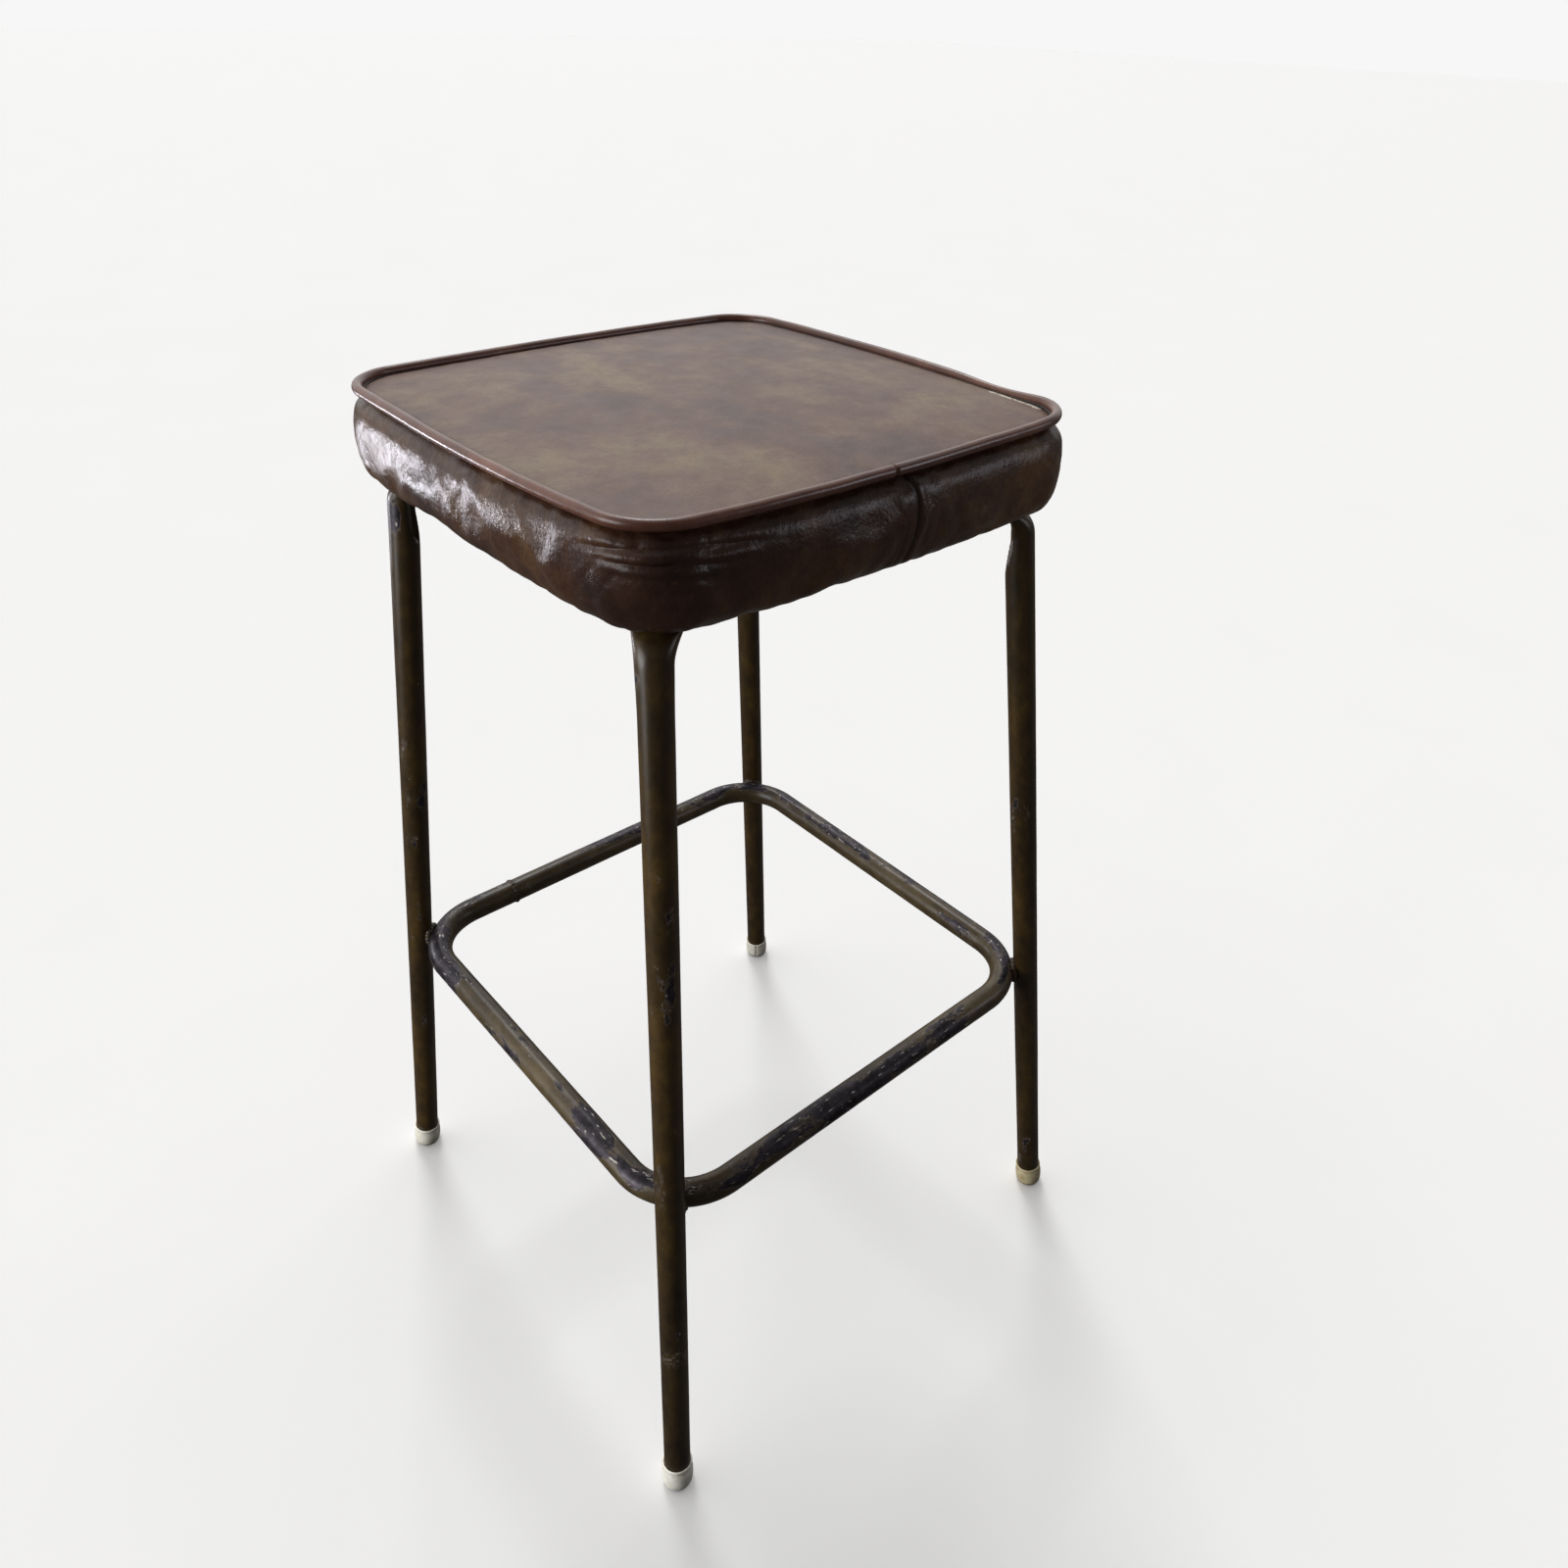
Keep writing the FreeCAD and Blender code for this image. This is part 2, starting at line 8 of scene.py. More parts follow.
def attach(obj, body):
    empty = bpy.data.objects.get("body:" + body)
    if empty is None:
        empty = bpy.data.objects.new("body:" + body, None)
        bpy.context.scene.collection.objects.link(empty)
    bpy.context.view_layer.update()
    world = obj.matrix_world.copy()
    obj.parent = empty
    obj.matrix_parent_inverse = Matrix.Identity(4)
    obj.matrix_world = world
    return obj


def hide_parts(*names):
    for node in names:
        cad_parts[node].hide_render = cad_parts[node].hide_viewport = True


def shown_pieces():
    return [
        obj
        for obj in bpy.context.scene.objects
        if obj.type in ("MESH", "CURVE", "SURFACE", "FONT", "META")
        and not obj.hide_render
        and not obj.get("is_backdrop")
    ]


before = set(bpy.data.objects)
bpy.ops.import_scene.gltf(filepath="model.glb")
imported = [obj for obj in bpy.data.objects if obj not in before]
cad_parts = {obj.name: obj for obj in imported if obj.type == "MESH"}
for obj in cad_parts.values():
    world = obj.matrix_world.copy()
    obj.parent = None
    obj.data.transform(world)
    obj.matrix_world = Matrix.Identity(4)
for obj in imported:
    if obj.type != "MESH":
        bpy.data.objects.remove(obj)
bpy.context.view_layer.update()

# Bar stool with footrest. Sizes are in millimetres until a mesh is made, then metres.
MM = 0.001

# ---------------------------------------------------------------- sizes shared with the frame
TUBE_R = 19.05 / 2
FOOT_REACH = 201.5 * math.sqrt(2)
SLOPE = 0.0999 * math.sqrt(2)
CRUSH_START = 600.0
BEND_START = 632.0
LUG_THICK = 3.2
LUG_WIDTH = 28.0
LUG_TIP = 147.0
BOLT_REACH = 158.0
CAP_FLOOR = 4.0
CAP_R = 11.4
CAP_RIM_R = 10.2
CAP_HEIGHT = 22.3
RING_Z = 261.4
RING_HALF = 175.5
RING_BEND = 48.0
RING_JOINT_Y = -90.0
SEAT_UNDER = 649.8
SEAT_HALF = 160.5
SEAT_CORNER = 36.0
SEAT_BOW = 1450.0
PIPING_Z = 707.0
PIPING_R = 3.2
HEM_HALF = 119.0
HEM_CORNER = 6.0
COVER = 1.2
BOARD_TOP = SEAT_UNDER + COVER + 12.0
PANEL_INSET = 2.2
PANEL_TOP = 709.4
PANEL_CROWN = 3.0
PIPING_JOINT_Y = -2.0
PIPING_GAP = 0.3
CORD_R = 2.0
WASHER_R = 6.0
WASHER_THICK = 1.6
BOLT_R = 3.0
BOLT_LENGTH = 16.0
BOLT_HOLE_R = 3.2
BOLT_HEAD = 4.0
BOLT_FLATS = 10.0
STAPLE_LENGTH = 10.0
STAPLE_WIDTH = 1.2
STAPLE_WIRE = 0.5
STAPLE_PITCH = 36.0
STAPLE_INSET = 22.0

CORNERS = {"front_right": -45.0, "rear_right": 45.0, "rear_left": 135.0, "front_left": 225.0}

# ---------------------------------------------------------------- wear and small details
LEG_SEGMENTS = 72
RING_SEGMENTS = 40
RING_STEP = 1.8
BEAD_SEGMENTS = 20
CAP_SEGMENTS = 96
PIPING_SECTIONS = 900
PANEL_NET = 64
FOAM_COLUMNS = 160
WELD_RIPPLES = 17
# Height where the dimple in the inner side of a leg's neck begins.
DENT_Z = CRUSH_START + 6
# Height of the old scar on the front right leg.
SCAR_Z = 147.0
# How far the paint is chipped at the neck, and on which side in the leg's own frame.
CHIPPED = {"front_left": 1.0, "front_right": 0.9, "rear_right": 0.3, "rear_left": 0.2}
CHIP_SIDE = {
    "front_left": np.array([0.5, 0.86]), "front_right": np.array([0.3, -0.95]),
    "rear_right": np.array([1.0, 0.0]), "rear_left": np.array([0.0, 1.0]),
}
CRACKED = {"rear_left": -176.0}
CAP_YELLOW = {"front_left": 0.15, "front_right": 0.0, "rear_right": 0.85, "rear_left": 0.1}
# How far the piping stands up at the rear right corner.
PIPING_LIFT = 0.8
# Middles of the top panel's split and of the piping's worn stretch, as shares of the way
# round the seat from the middle of the +X side, and the length of the split.
TEAR_AT = 0.152
WORN_AT = 0.175
TEAR_LENGTH = 50.0
# Where the ends of the side band meet.
SEAM_Y = 8.0
# How far the cover is drawn out at the front left and rear right corners, and in at the
# front right one.
CORNER_PULL = 2.6
CORNER_TUCK = -1.6
# The panel's dive into the groove, the split's depth, lip and distance in from the edge.
GROOVE_DIVE = 2.6
TEAR_DEPTH = 0.35
TEAR_LIP = 0.2
TEAR_INSET = 4.6
# How far a leg's neck is pressed flat, what the bend keeps over the lug's thickness, and the
# dimple's depth and half width.
NECK_PRESS = 1.8
BEND_KEEPS = 3.6
DENT_DEPTH = 3.4
DENT_HALF = 7.4
BUTT_SECTIONS = 120
WELD_SECTIONS = 110


# ---------------------------------------------------------------- small tools
def srgb(r, g, b):
    """Linear colour of an 8-bit display colour."""
    out = []
    for c in (r, g, b):
        c = c / 255
        out.append(c / 12.92 if c <= 0.04045 else ((c + 0.055) / 1.055) ** 2.4)
    return (*out, 1.0)


def smoothstep(lo, hi, x):
    t = np.clip((np.asarray(x, float) - lo) / (hi - lo), 0, 1)
    return t * t * (3 - 2 * t)


def bell(x, width, power=2):
    """1 at 0, and next to nothing well past width either way. Power 4 has a flatter top."""
    return np.exp(-(x / width) ** power)


def wave(points, scale, seed=0.0):
    """Smooth noise from -1 to 1 at each point (mm), with features about scale mm across."""
    shift = Vector((seed * 17.3, seed * 5.1, seed * 9.7))
    return np.array([noise.noise(Vector(p) / scale + shift) for p in points])


def grid_faces(rows, cols, wrap=False):
    """Quads of a rows x cols grid of vertices, its columns joined round if wrap."""
    faces = []
    last = cols if wrap else cols - 1
    for r in range(rows - 1):
        for c in range(last):
            d = (c + 1) % cols
            faces.append((r * cols + c, r * cols + d, (r + 1) * cols + d, (r + 1) * cols + c))
    return faces


def new_mesh(name, points, faces):
    """Mesh object from points in millimetres."""
    mesh = bpy.data.meshes.new(name)
    mesh.from_pydata([tuple(p) for p in np.asarray(points) * MM], [], faces)
    mesh.validate()
    mesh.shade_smooth()
    obj = bpy.data.objects.new(name, mesh)
    bpy.context.scene.collection.objects.link(obj)
    return obj


def points_of(obj):
    """Vertex positions in millimetres."""
    flat = np.empty(len(obj.data.vertices) * 3)
    obj.data.vertices.foreach_get("co", flat)
    return flat.reshape(-1, 3) / MM


def set_points(obj, points):
    obj.data.vertices.foreach_set("co", (np.asarray(points) * MM).ravel())
    obj.data.update()


def mark(obj, **marks):
    """Stores named numbers per vertex, or one for all its vertices, for the materials."""
    for name, values in marks.items():
        layer = obj.data.attributes.new(name, "FLOAT", "POINT")
        numbers = np.broadcast_to(np.asarray(values, float), len(obj.data.vertices))
        layer.data.foreach_set("value", np.array(numbers))


def mark_on_tube(obj, along, section):
    """Stores each vertex's place on a tube: distance along it, and place in its section (mm)."""
    place = np.column_stack([along, section]) * MM
    layer = obj.data.attributes.new("on_tube", "FLOAT_VECTOR", "POINT")
    layer.data.foreach_set("vector", place.ravel())


def apply_modifiers(obj):
    """Replaces the mesh by what its modifiers make of it."""
    depsgraph = bpy.context.evaluated_depsgraph_get()
    made = bpy.data.meshes.new_from_object(obj.evaluated_get(depsgraph))
    obj.modifiers.clear()
    obj.data = made


def subdivide(obj, levels):
    mod = obj.modifiers.new("Subdivision", "SUBSURF")
    mod.levels = levels
    mod.render_levels = levels
    mod.boundary_smooth = "PRESERVE_CORNERS"
    apply_modifiers(obj)


def finish_piece(obj, material, nodes=()):
    """Gives a piece its finish, puts it on the body and lets it stand for CAD nodes."""
    obj.data.materials.clear()
    obj.data.materials.append(material)
    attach(obj, "root")
    if nodes:
        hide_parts(*nodes)


def turned(points, angle):
    """Points turned about Z by an angle in degrees."""
    c, s = math.cos(math.radians(angle)), math.sin(math.radians(angle))
    return np.asarray(points) @ np.array([[c, s, 0], [-s, c, 0], [0, 0, 1]])


def quarter_turned(quarters, *plans):
    """Plan vectors, each turned about Z by its own number of quarter turns."""
    turn = quarters * math.pi / 2
    c, s = np.cos(turn), np.sin(turn)
    return [np.stack([v[:, 0] * c - v[:, 1] * s, v[:, 0] * s + v[:, 1] * c], 1) for v in plans]


# ---------------------------------------------------------------- seat outline
def outline_arcs(half, corner, bow):
    """Where a side's arc and a corner's arc are centred, and half the turn of a side."""
    bow_at = half - bow
    corner_at = (bow_at + math.sqrt(2 * (bow - corner) ** 2 - bow_at ** 2)) / 2
    return bow_at, corner_at, math.atan2(corner_at, corner_at - bow_at)


def outline(columns, half=SEAT_HALF, corner=SEAT_CORNER, bow=SEAT_BOW):
    """Points and outward normals (plan view) of a rounded square with bowed sides.

    columns are places round it, four units to the loop: 0 is the middle of the +X side,
    0.5 the middle of the rear right corner, 1 the middle of the +Y side, and so on.
    """
    u = np.asarray(columns, float) + SIDE_SHARE / 2
    quarter = np.floor(u)
    t = u - quarter
    bow_at, corner_at, lean = outline_arcs(half, corner, bow)
    # The share of a quarter that is side is that of the seat's own outline, so that
    # outlines of other sizes match it point by point.
    on_side = t < SIDE_SHARE
    side_angle = lean * (2 * t / SIDE_SHARE - 1)
    corner_angle = lean + (math.pi / 2 - 2 * lean) * (t - SIDE_SHARE) / (1 - SIDE_SHARE)
    angle = np.where(on_side, side_angle, corner_angle)
    normal = np.stack([np.cos(angle), np.sin(angle)], 1)
    side = np.array([bow_at, 0.0]) + bow * normal
    bend = corner_at + corner * normal
    return quarter_turned(quarter, np.where(on_side[:, None], side, bend), normal)


def quarter_lengths():
    """Lengths of one side and one corner of the seat's outline."""
    _, _, lean = outline_arcs(SEAT_HALF, SEAT_CORNER, SEAT_BOW)
    return 2 * lean * SEAT_BOW, (math.pi / 2 - 2 * lean) * SEAT_CORNER


SIDE_LENGTH, BEND_LENGTH = quarter_lengths()
QUARTER = SIDE_LENGTH + BEND_LENGTH
LOOP = 4 * QUARTER
SIDE_SHARE = SIDE_LENGTH / QUARTER
CORNER_AT = {name: (angle / 90 % 4) * QUARTER for name, angle in CORNERS.items()}
LOOP_PLACE = np.linspace(0, 4, 4001)
LOOP_PLAN, LOOP_NORMAL = outline(LOOP_PLACE)
LOOP_ANGLE = np.unwrap(np.arctan2(LOOP_PLAN[:, 1], LOOP_PLAN[:, 0]))


def place_round(points):
    """Distance round the seat in millimetres, anticlockwise from the middle of the +X side,
    of the outline's point on the same ray from the middle, and the outward direction there."""
    bearing = np.arctan2(points[:, 1], points[:, 0]) % (2 * math.pi)
    place = np.interp(bearing, LOOP_ANGLE, LOOP_PLACE)
    index = np.round(place * 1000).astype(int) % 4000
    return place * QUARTER, LOOP_NORMAL[index], LOOP_PLAN[index]


def away_from(around, place):
    """Signed distance round the seat from a place, the short way."""
    return (around - place + LOOP / 2) % LOOP - LOOP / 2


def corner_pull(points):
    """The cover is drawn out a little at the front left and rear right corners, and in at the
    front right one."""
    points = np.array(points, float)
    along = (points[:, 0] + points[:, 1]) / math.sqrt(2)
    reach = smoothstep(150, 210, np.abs(along))
    push = CORNER_PULL * reach * np.sign(along) / math.sqrt(2)
    points[:, 0] += push
    points[:, 1] += push
    across = (points[:, 0] - points[:, 1]) / math.sqrt(2)
    tuck = CORNER_TUCK * smoothstep(165, 208, across) / math.sqrt(2)
    points[:, 0] += tuck
    points[:, 1] -= tuck
    return points


# Cross-section of the side band: height above the board's underside, and offset out from
# the piping's centre line. It comes out of the groove under the piping, bulges, and rolls
# under at the board.
BAND_SECTION = np.array([
    (56.6, -3.7), (54.6, -4.2), (52.9, -4.3), (51.7, -3.3), (50.5, -1.5), (49.1, 0.7),
    (47.0, 2.8), (43.6, 4.5), (39.5, 5.4), (34.5, 5.9), (29.5, 6.0), (24.5, 5.8), (19.5, 5.2), (14.2, 4.2),
    (9.7, 2.6), (6.2, 0.4), (3.4, -2.6), (1.4, -6.2), (0.3, -10.6),
])
HEM_ROWS = 5
BAND_COLUMNS = 240
# Level folds on the front corner: middle, from the corner along the band, height above the
# underside, reach to each side, depth, width and tilt.
FRONT_FOLDS = (
    (14.0, 45.8, 42.0, 1.5, 2.6, -0.02), (6.0, 39.6, 30.0, 1.3, 2.4, -0.05),
    (30.0, 42.0, 24.0, 0.9, 2.2, 0.03), (-22.0, 43.6, 14.0, 0.6, 2.2, 0.08),
    (10.0, 33.0, 20.0, 0.5, 2.6, -0.09),
)
# Sideways lean and depth of the pull lines at the corners that have them.
PULLS = {"front_right": (0.9, 0.5), "rear_right": (-1.0, 0.4), "front_left": (0.9, 0.45)}


def band_columns():
    """Places round the band, starting and ending at the seam."""
    return SEAM_Y / QUARTER + 4 * np.arange(BAND_COLUMNS + 1) / BAND_COLUMNS


def run_cloth(obj, pinned, pressure, slack, frames=20):
    """Vertex positions after a short cloth simulation with pressure from inside."""
    group = obj.vertex_groups.new(name="held")
    group.add([int(i) for i in np.nonzero(pinned)[0]], 1.0, "REPLACE")
    mod = obj.modifiers.new("Cloth", "CLOTH")
    cloth = mod.settings
    cloth.vertex_group_mass = "held"
    cloth.quality = 6
    cloth.mass = 0.25
    cloth.tension_stiffness = 25
    cloth.compression_stiffness = 25
    cloth.shear_stiffness = 8
    cloth.bending_stiffness = 0.6
    cloth.shrink_min = -slack
    cloth.use_pressure = True
    cloth.uniform_pressure_force = pressure
    cloth.effector_weights.gravity = 0
    scene = bpy.context.scene
    for f in range(1, frames + 1):
        scene.frame_set(f)
    depsgraph = bpy.context.evaluated_depsgraph_get()
    made = bpy.data.meshes.new_from_object(obj.evaluated_get(depsgraph))
    flat = np.empty(len(made.vertices) * 3)
    made.vertices.foreach_get("co", flat)
    obj.modifiers.clear()
    obj.vertex_groups.clear()
    scene.frame_set(1)
    bpy.data.meshes.remove(made)
    return flat.reshape(-1, 3) / MM


def add_cloth_shape(obj, pinned, pressure, slack, cap):
    """Moves a piece towards its simulated shape, by no more than cap millimetres."""
    base = points_of(obj)
    move = run_cloth(obj, pinned, pressure, slack) - base
    size = np.linalg.norm(move, axis=1)
    share = cap * np.tanh(size / cap) / np.maximum(size, 1e-9)
    set_points(obj, base + move * share[:, None])


# ---------------------------------------------------------------- side band of the cover
def band_points(columns, section):
    """Rows of the band down its section, then across the hem to its inner edge."""
    rows = []
    base, normal = outline(columns)
    for rise, out in section:
        rows.append(np.column_stack([base + normal * out, np.full(len(base), SEAT_UNDER + rise)]))
    hem_outer = rows[-1][:, :2]
    hem_inner, _ = outline(columns, HEM_HALF, HEM_CORNER, 1e6)
    for k in range(1, HEM_ROWS + 1):
        share = k / HEM_ROWS
        plan = hem_outer * (1 - share) + hem_inner * share
        rows.append(np.column_stack([plan, np.full(len(plan), SEAT_UNDER + 0.15)]))
    return rows


def seam_lean(rise):
    """Sideways wander of the band's seam with height above the underside."""
    return 4.0 * np.sin((rise - 11.0) / 45.0 * math.pi) - 1.5


def build_band():
    columns = band_columns()
    rows = band_points(columns, BAND_SECTION)
    count = len(columns)
    points = np.vstack(rows)
    obj = new_mesh("cover_side_band_visual", points, grid_faces(len(rows), count))
    row_of = np.repeat(np.arange(len(rows)), count)
    pinned = (row_of < 2) | (row_of > len(BAND_SECTION) - 2)
    pinned |= np.tile((np.arange(count) == 0) | (np.arange(count) == count - 1), len(rows))
    add_cloth_shape(obj, pinned, pressure=3.0, slack=0.02, cap=1.6)
    subdivide(obj, 2)
    shape_band(obj)
    thick = obj.modifiers.new("Vinyl", "SOLIDIFY")
    thick.thickness = COVER * 0.9 * MM
    thick.offset = -1
    apply_modifiers(obj)
    return obj


def crease(distance, width):
    """Profile of a pressed-in fold: a sharp valley with soft shoulders."""
    x = np.abs(distance) / width
    return -np.exp(-(x * 1.8) ** 1.5) + 0.35 * np.exp(-((x - 1.5) * 1.6) ** 2)


def shape_band(obj):
    """Folds, puckers and the lapped seam, worked into the band after its simulation."""
    p = points_of(obj)
    around, normal, _ = place_round(p)
    rise = p[:, 2] - SEAT_UNDER

    def ripple(stretch, scale, seed):
        return wave(np.column_stack([around, rise * stretch, 0 * rise]), scale, seed)

    # Soft unevenness of old vinyl over foam.
    soft = 0.55 * ripple(2.0, 42.0, 1)
    soft += 0.22 * ripple(1.4, 15.0, 2)
    soft += 0.10 * ripple(1.2, 6.5, 3)
    out = soft * smoothstep(1.2, 8.2, rise) * (1 - smoothstep(48.0, 53.0, rise))

    # Level folds under the piping on the front corner. They run on along the right side.
    front = away_from(around, CORNER_AT["front_right"])
    for middle, height, reach, depth, width, tilt in FRONT_FOLDS:
        d = front - middle
        bend = height + tilt * d - 0.0014 * d ** 2
        out += depth * crease(rise - bend, width) * bell(d, reach, 4)

    # Puckers drawn in under the piping and along the tucked bottom edge, close at the corners.
    wobble = 1.5 * ripple(0.3, 18.0, 4)
    for place in CORNER_AT.values():
        d = away_from(around, place)
        near = bell(d, 34.0, 4)
        gather = np.cos((d + wobble) / 8.5 * 2 * math.pi)
        out += 0.16 * gather * near * bell(rise - 48.5, 4.0)
        pleat = np.abs(np.sin((d + wobble) / 13.0 * math.pi)) - 0.6
        out += 1.5 * pleat * near * bell(rise - 2.2, 4.5)

    # Diagonal pull lines that run down from the corners.
    for name, (lean, depth) in PULLS.items():
        line = away_from(around, CORNER_AT[name]) - lean * (rise - 36.0)
        for k in (-26.0, -12.0, 16.0, 30.0):
            out += depth * 0.5 * crease(line - k, 3.2) * bell(rise - 32.0, 14.0)

    p[:, :2] += normal * out[:, None]

    # The band goes up with the piping where that stands high.
    lifted = bell(away_from(around, CORNER_AT["rear_right"]), 30.0, 4)
    p[:, 2] += PIPING_LIFT * lifted * smoothstep(48, 54, rise)

    # The seam: one end of the strip laps over the other with a small step and a shadow gap.
    seam = away_from(around, SEAM_Y)
    shift = seam_lean(rise) * bell(seam, 26.0) * smoothstep(2, 10, rise)
    tangent = np.column_stack([-normal[:, 1], normal[:, 0]])
    p[:, :2] += tangent * shift[:, None]
    lap = np.where(seam < 0, bell(seam, 7.0) * 0.9, -1.5 * bell(seam, 2.2))
    lap += np.where(seam >= 0, 0.55 * bell(seam - 5.0, 2.4), 0.0)
    p[:, :2] += normal * (lap * smoothstep(1, 6, rise))[:, None]

    # Pleats are folded flat under the board at the corners.
    under = 0.45 * (1 - smoothstep(0.4, 2.2, rise))
    under *= smoothstep(150, 190, np.linalg.norm(p[:, :2], axis=1))
    for place in CORNER_AT.values():
        d = away_from(around, place)
        p[:, 2] -= under * bell(d, 26.0, 4) * np.maximum(np.sin(d / 9.0 * math.pi), -0.2)
    set_points(obj, corner_pull(p))
    # Painted shade: the recess under the piping and the seam's shadow gap are marked so the vinyl is
    # painted near black there.
    groove_shade = smoothstep(51.5, 53.5, rise)
    mark(obj, gap=np.maximum(groove_shade, bell(seam, 1.6) * smoothstep(1, 6, rise)))


def build_top_panel():
    """Crowned panel inside the piping, on a square net drawn onto the rounded outline."""
    t = np.linspace(-1, 1, PANEL_NET + 1)
    gx, gy = [g.ravel() for g in np.meshgrid(t, t)]
    ring = np.maximum(np.abs(gx), np.abs(gy))
    steady = np.maximum(ring, 1e-9)
    # Place of each net point on the outline, by the side of the square that it faces.
    along = np.where(np.abs(gx) >= np.abs(gy), gy / steady, gx / steady)
    side = np.where(np.abs(gx) >= np.abs(gy), np.where(gx >= 0, 0, 2), np.where(gy >= 0, 1, 3))
    sign = np.where((side == 0) | (side == 3), 1, -1)
    edge, _ = outline(side + 0.5 * sign * along)
    inset = 1 - PANEL_INSET / SEAT_HALF
    spacing = ring * (1.35 - 0.35 * ring ** 2)
    plan = edge * (spacing * inset)[:, None]
    height = crown_height(plan[:, 0], plan[:, 1])
    net = grid_faces(PANEL_NET + 1, PANEL_NET + 1)
    obj = new_mesh("cover_top_panel_visual", np.column_stack([plan, height]), net)
    add_cloth_shape(obj, ring > 0.97, pressure=2.0, slack=0.0, cap=1.2)
    subdivide(obj, 2)
    p = points_of(obj)
    inside = edge_distance(p)
    # The panel dives into the groove beside the piping.
    p[:, 2] -= GROOVE_DIVE * np.exp(-inside / 1.5)
    # Faint dips of foam that has been sat on, and ripples along the stitched edge.
    calm = smoothstep(3, 22, inside)
    p[:, 2] += 0.55 * calm * wave(p, 70.0, 11) + 0.12 * calm * wave(p, 22.0, 12)
    p[:, 2] += 0.22 * (1 - calm) * smoothstep(1, 5, inside) * wave(p, 9.0, 13)
    torn = tear_shape(p)
    p[:, 2] -= TEAR_DEPTH * torn
    lip = smoothstep(0.02, 0.3, torn) * (1 - smoothstep(0.4, 0.8, torn))
    p[:, 2] += TEAR_LIP * lip
    set_points(obj, corner_pull(p))
    # Painted shade: the panel's edge, where it dives in beside the piping, is marked to be painted near
    # black.
    mark(obj, torn=torn, gap=1 - smoothstep(0.4, 2.2, inside))
    thick = obj.modifiers.new("Vinyl", "SOLIDIFY")
    thick.thickness = COVER * MM
    thick.offset = -1
    apply_modifiers(obj)
    return obj


def crown_height(x, y):
    """Height of the seat's top, which falls to much the same height all along its edge."""
    return PANEL_TOP - PANEL_CROWN * np.sqrt((x / SEAT_HALF) ** 4 + (y / SEAT_HALF) ** 4)


def edge_distance(points):
    """Distance in from the edge of the top panel."""
    _, normal, base = place_round(points)
    return np.abs(np.einsum("ij,ij->i", base - points[:, :2], normal)) - PANEL_INSET


def tear_shape(points):
    """1 in the split beside the piping on the rear right corner, 0 away from it."""
    inside = edge_distance(points)
    around, _, _ = place_round(points)
    middle = TEAR_AT * LOOP
    ragged = 2.6 * wave(points, 7.0, 21) + 1.4 * wave(points, 2.4, 22)
    reach = 1 - smoothstep(0.75, 1.0, np.abs(around - middle) / TEAR_LENGTH * 2)
    wide = 1.9 + 1.4 * np.cos((around - middle) / TEAR_LENGTH * math.pi)
    return reach * (1 - smoothstep(0.6, 1.0, np.abs(inside - TEAR_INSET + 0.5 * ragged) / wide))


# ---------------------------------------------------------------- swept pieces
def swept(name, centre, side, up, profile, closed=False):
    """Skin over sections: profile holds each section's points along its side and up vectors.

    side, up and profile may each be one for all the sections.
    """
    centre = np.asarray(centre, float)
    side, up = [np.broadcast_to(np.asarray(v, float), centre.shape) for v in (side, up)]
    profile = np.broadcast_to(profile, (len(centre), *np.shape(profile)[-2:]))
    skin = centre[:, None] + profile[..., :1] * side[:, None] + profile[..., 1:] * up[:, None]
    rows, segments = skin.shape[:2]
    points = skin.reshape(-1, 3)
    if not closed:
        return capped_tube(name, points, rows, segments)
    faces = grid_faces(rows, segments, wrap=True)
    last = (rows - 1) * segments
    for k in range(segments):
        j = (k + 1) % segments
        faces.append((last + k, last + j, j, k))
    return new_mesh(name, points, faces)


def capped_tube(name, points, rows, segments):
    """Skin over rings of points, closed at both ends by fans."""
    faces = grid_faces(rows, segments, wrap=True)
    for first, turned_over in ((0, True), ((rows - 1) * segments, False)):
        hub = len(points)
        points = np.vstack([points, points[first:first + segments].mean(0)])
        for k in range(segments):
            a, b = first + k, first + (k + 1) % segments
            faces.append((b, a, hub) if turned_over else (a, b, hub))
    return new_mesh(name, points, faces)


def circle(segments):
    angle = 2 * math.pi * np.arange(segments) / segments
    return np.column_stack([np.cos(angle), np.sin(angle)])


def piping_line():
    """Places round the seat of the piping, from one end at the joint to the other."""
    gap = PIPING_GAP / 2 / QUARTER
    joint = PIPING_JOINT_Y / QUARTER
    return np.linspace(joint + gap, joint + 4 - gap, PIPING_SECTIONS)


def build_piping(name, radius, segments):
    """Round piping on its line: worn thin at the rear right, and lapped at its joint."""
    place = piping_line()
    base, normal = outline(place)
    raw = np.column_stack([base, np.full(len(base), PIPING_Z)])
    around, _, _ = place_round(raw)
    worn = bell(around - WORN_AT * LOOP, 24.0)
    lifted = bell(around - CORNER_AT["rear_right"], 30.0, 4)
    sway = 0.22 * wave(raw, 26.0, 31) + 0.1 * wave(raw, 9.0, 32)
    size = radius * (1 + 0.035 * wave(raw, 13.0, 33) - 0.26 * worn)
    first = bell((place - place[0]) * QUARTER, 5.0)
    out = sway + 0.25 * first - 0.4 * worn
    lift = 0.2 * wave(raw, 30.0, 34) + PIPING_LIFT * lifted + 0.2 * first - 0.7 * worn
    centre = raw + np.column_stack([normal * out[:, None], lift])
    centre = corner_pull(centre)
    ends = np.minimum(np.arange(len(place)), np.arange(len(place))[::-1])
    rounding = np.where(ends == 0, 0.88, 1.0)
    side = np.column_stack([normal, np.zeros(len(normal))])
    profile = circle(segments)[None] * (size * rounding)[:, None, None]
    obj = swept(name, centre, side, (0, 0, 1), profile)
    mark(obj, gap=0, torn=0)
    return obj


# ---------------------------------------------------------------- legs
def leg_reach(height):
    return FOOT_REACH - SLOPE * height


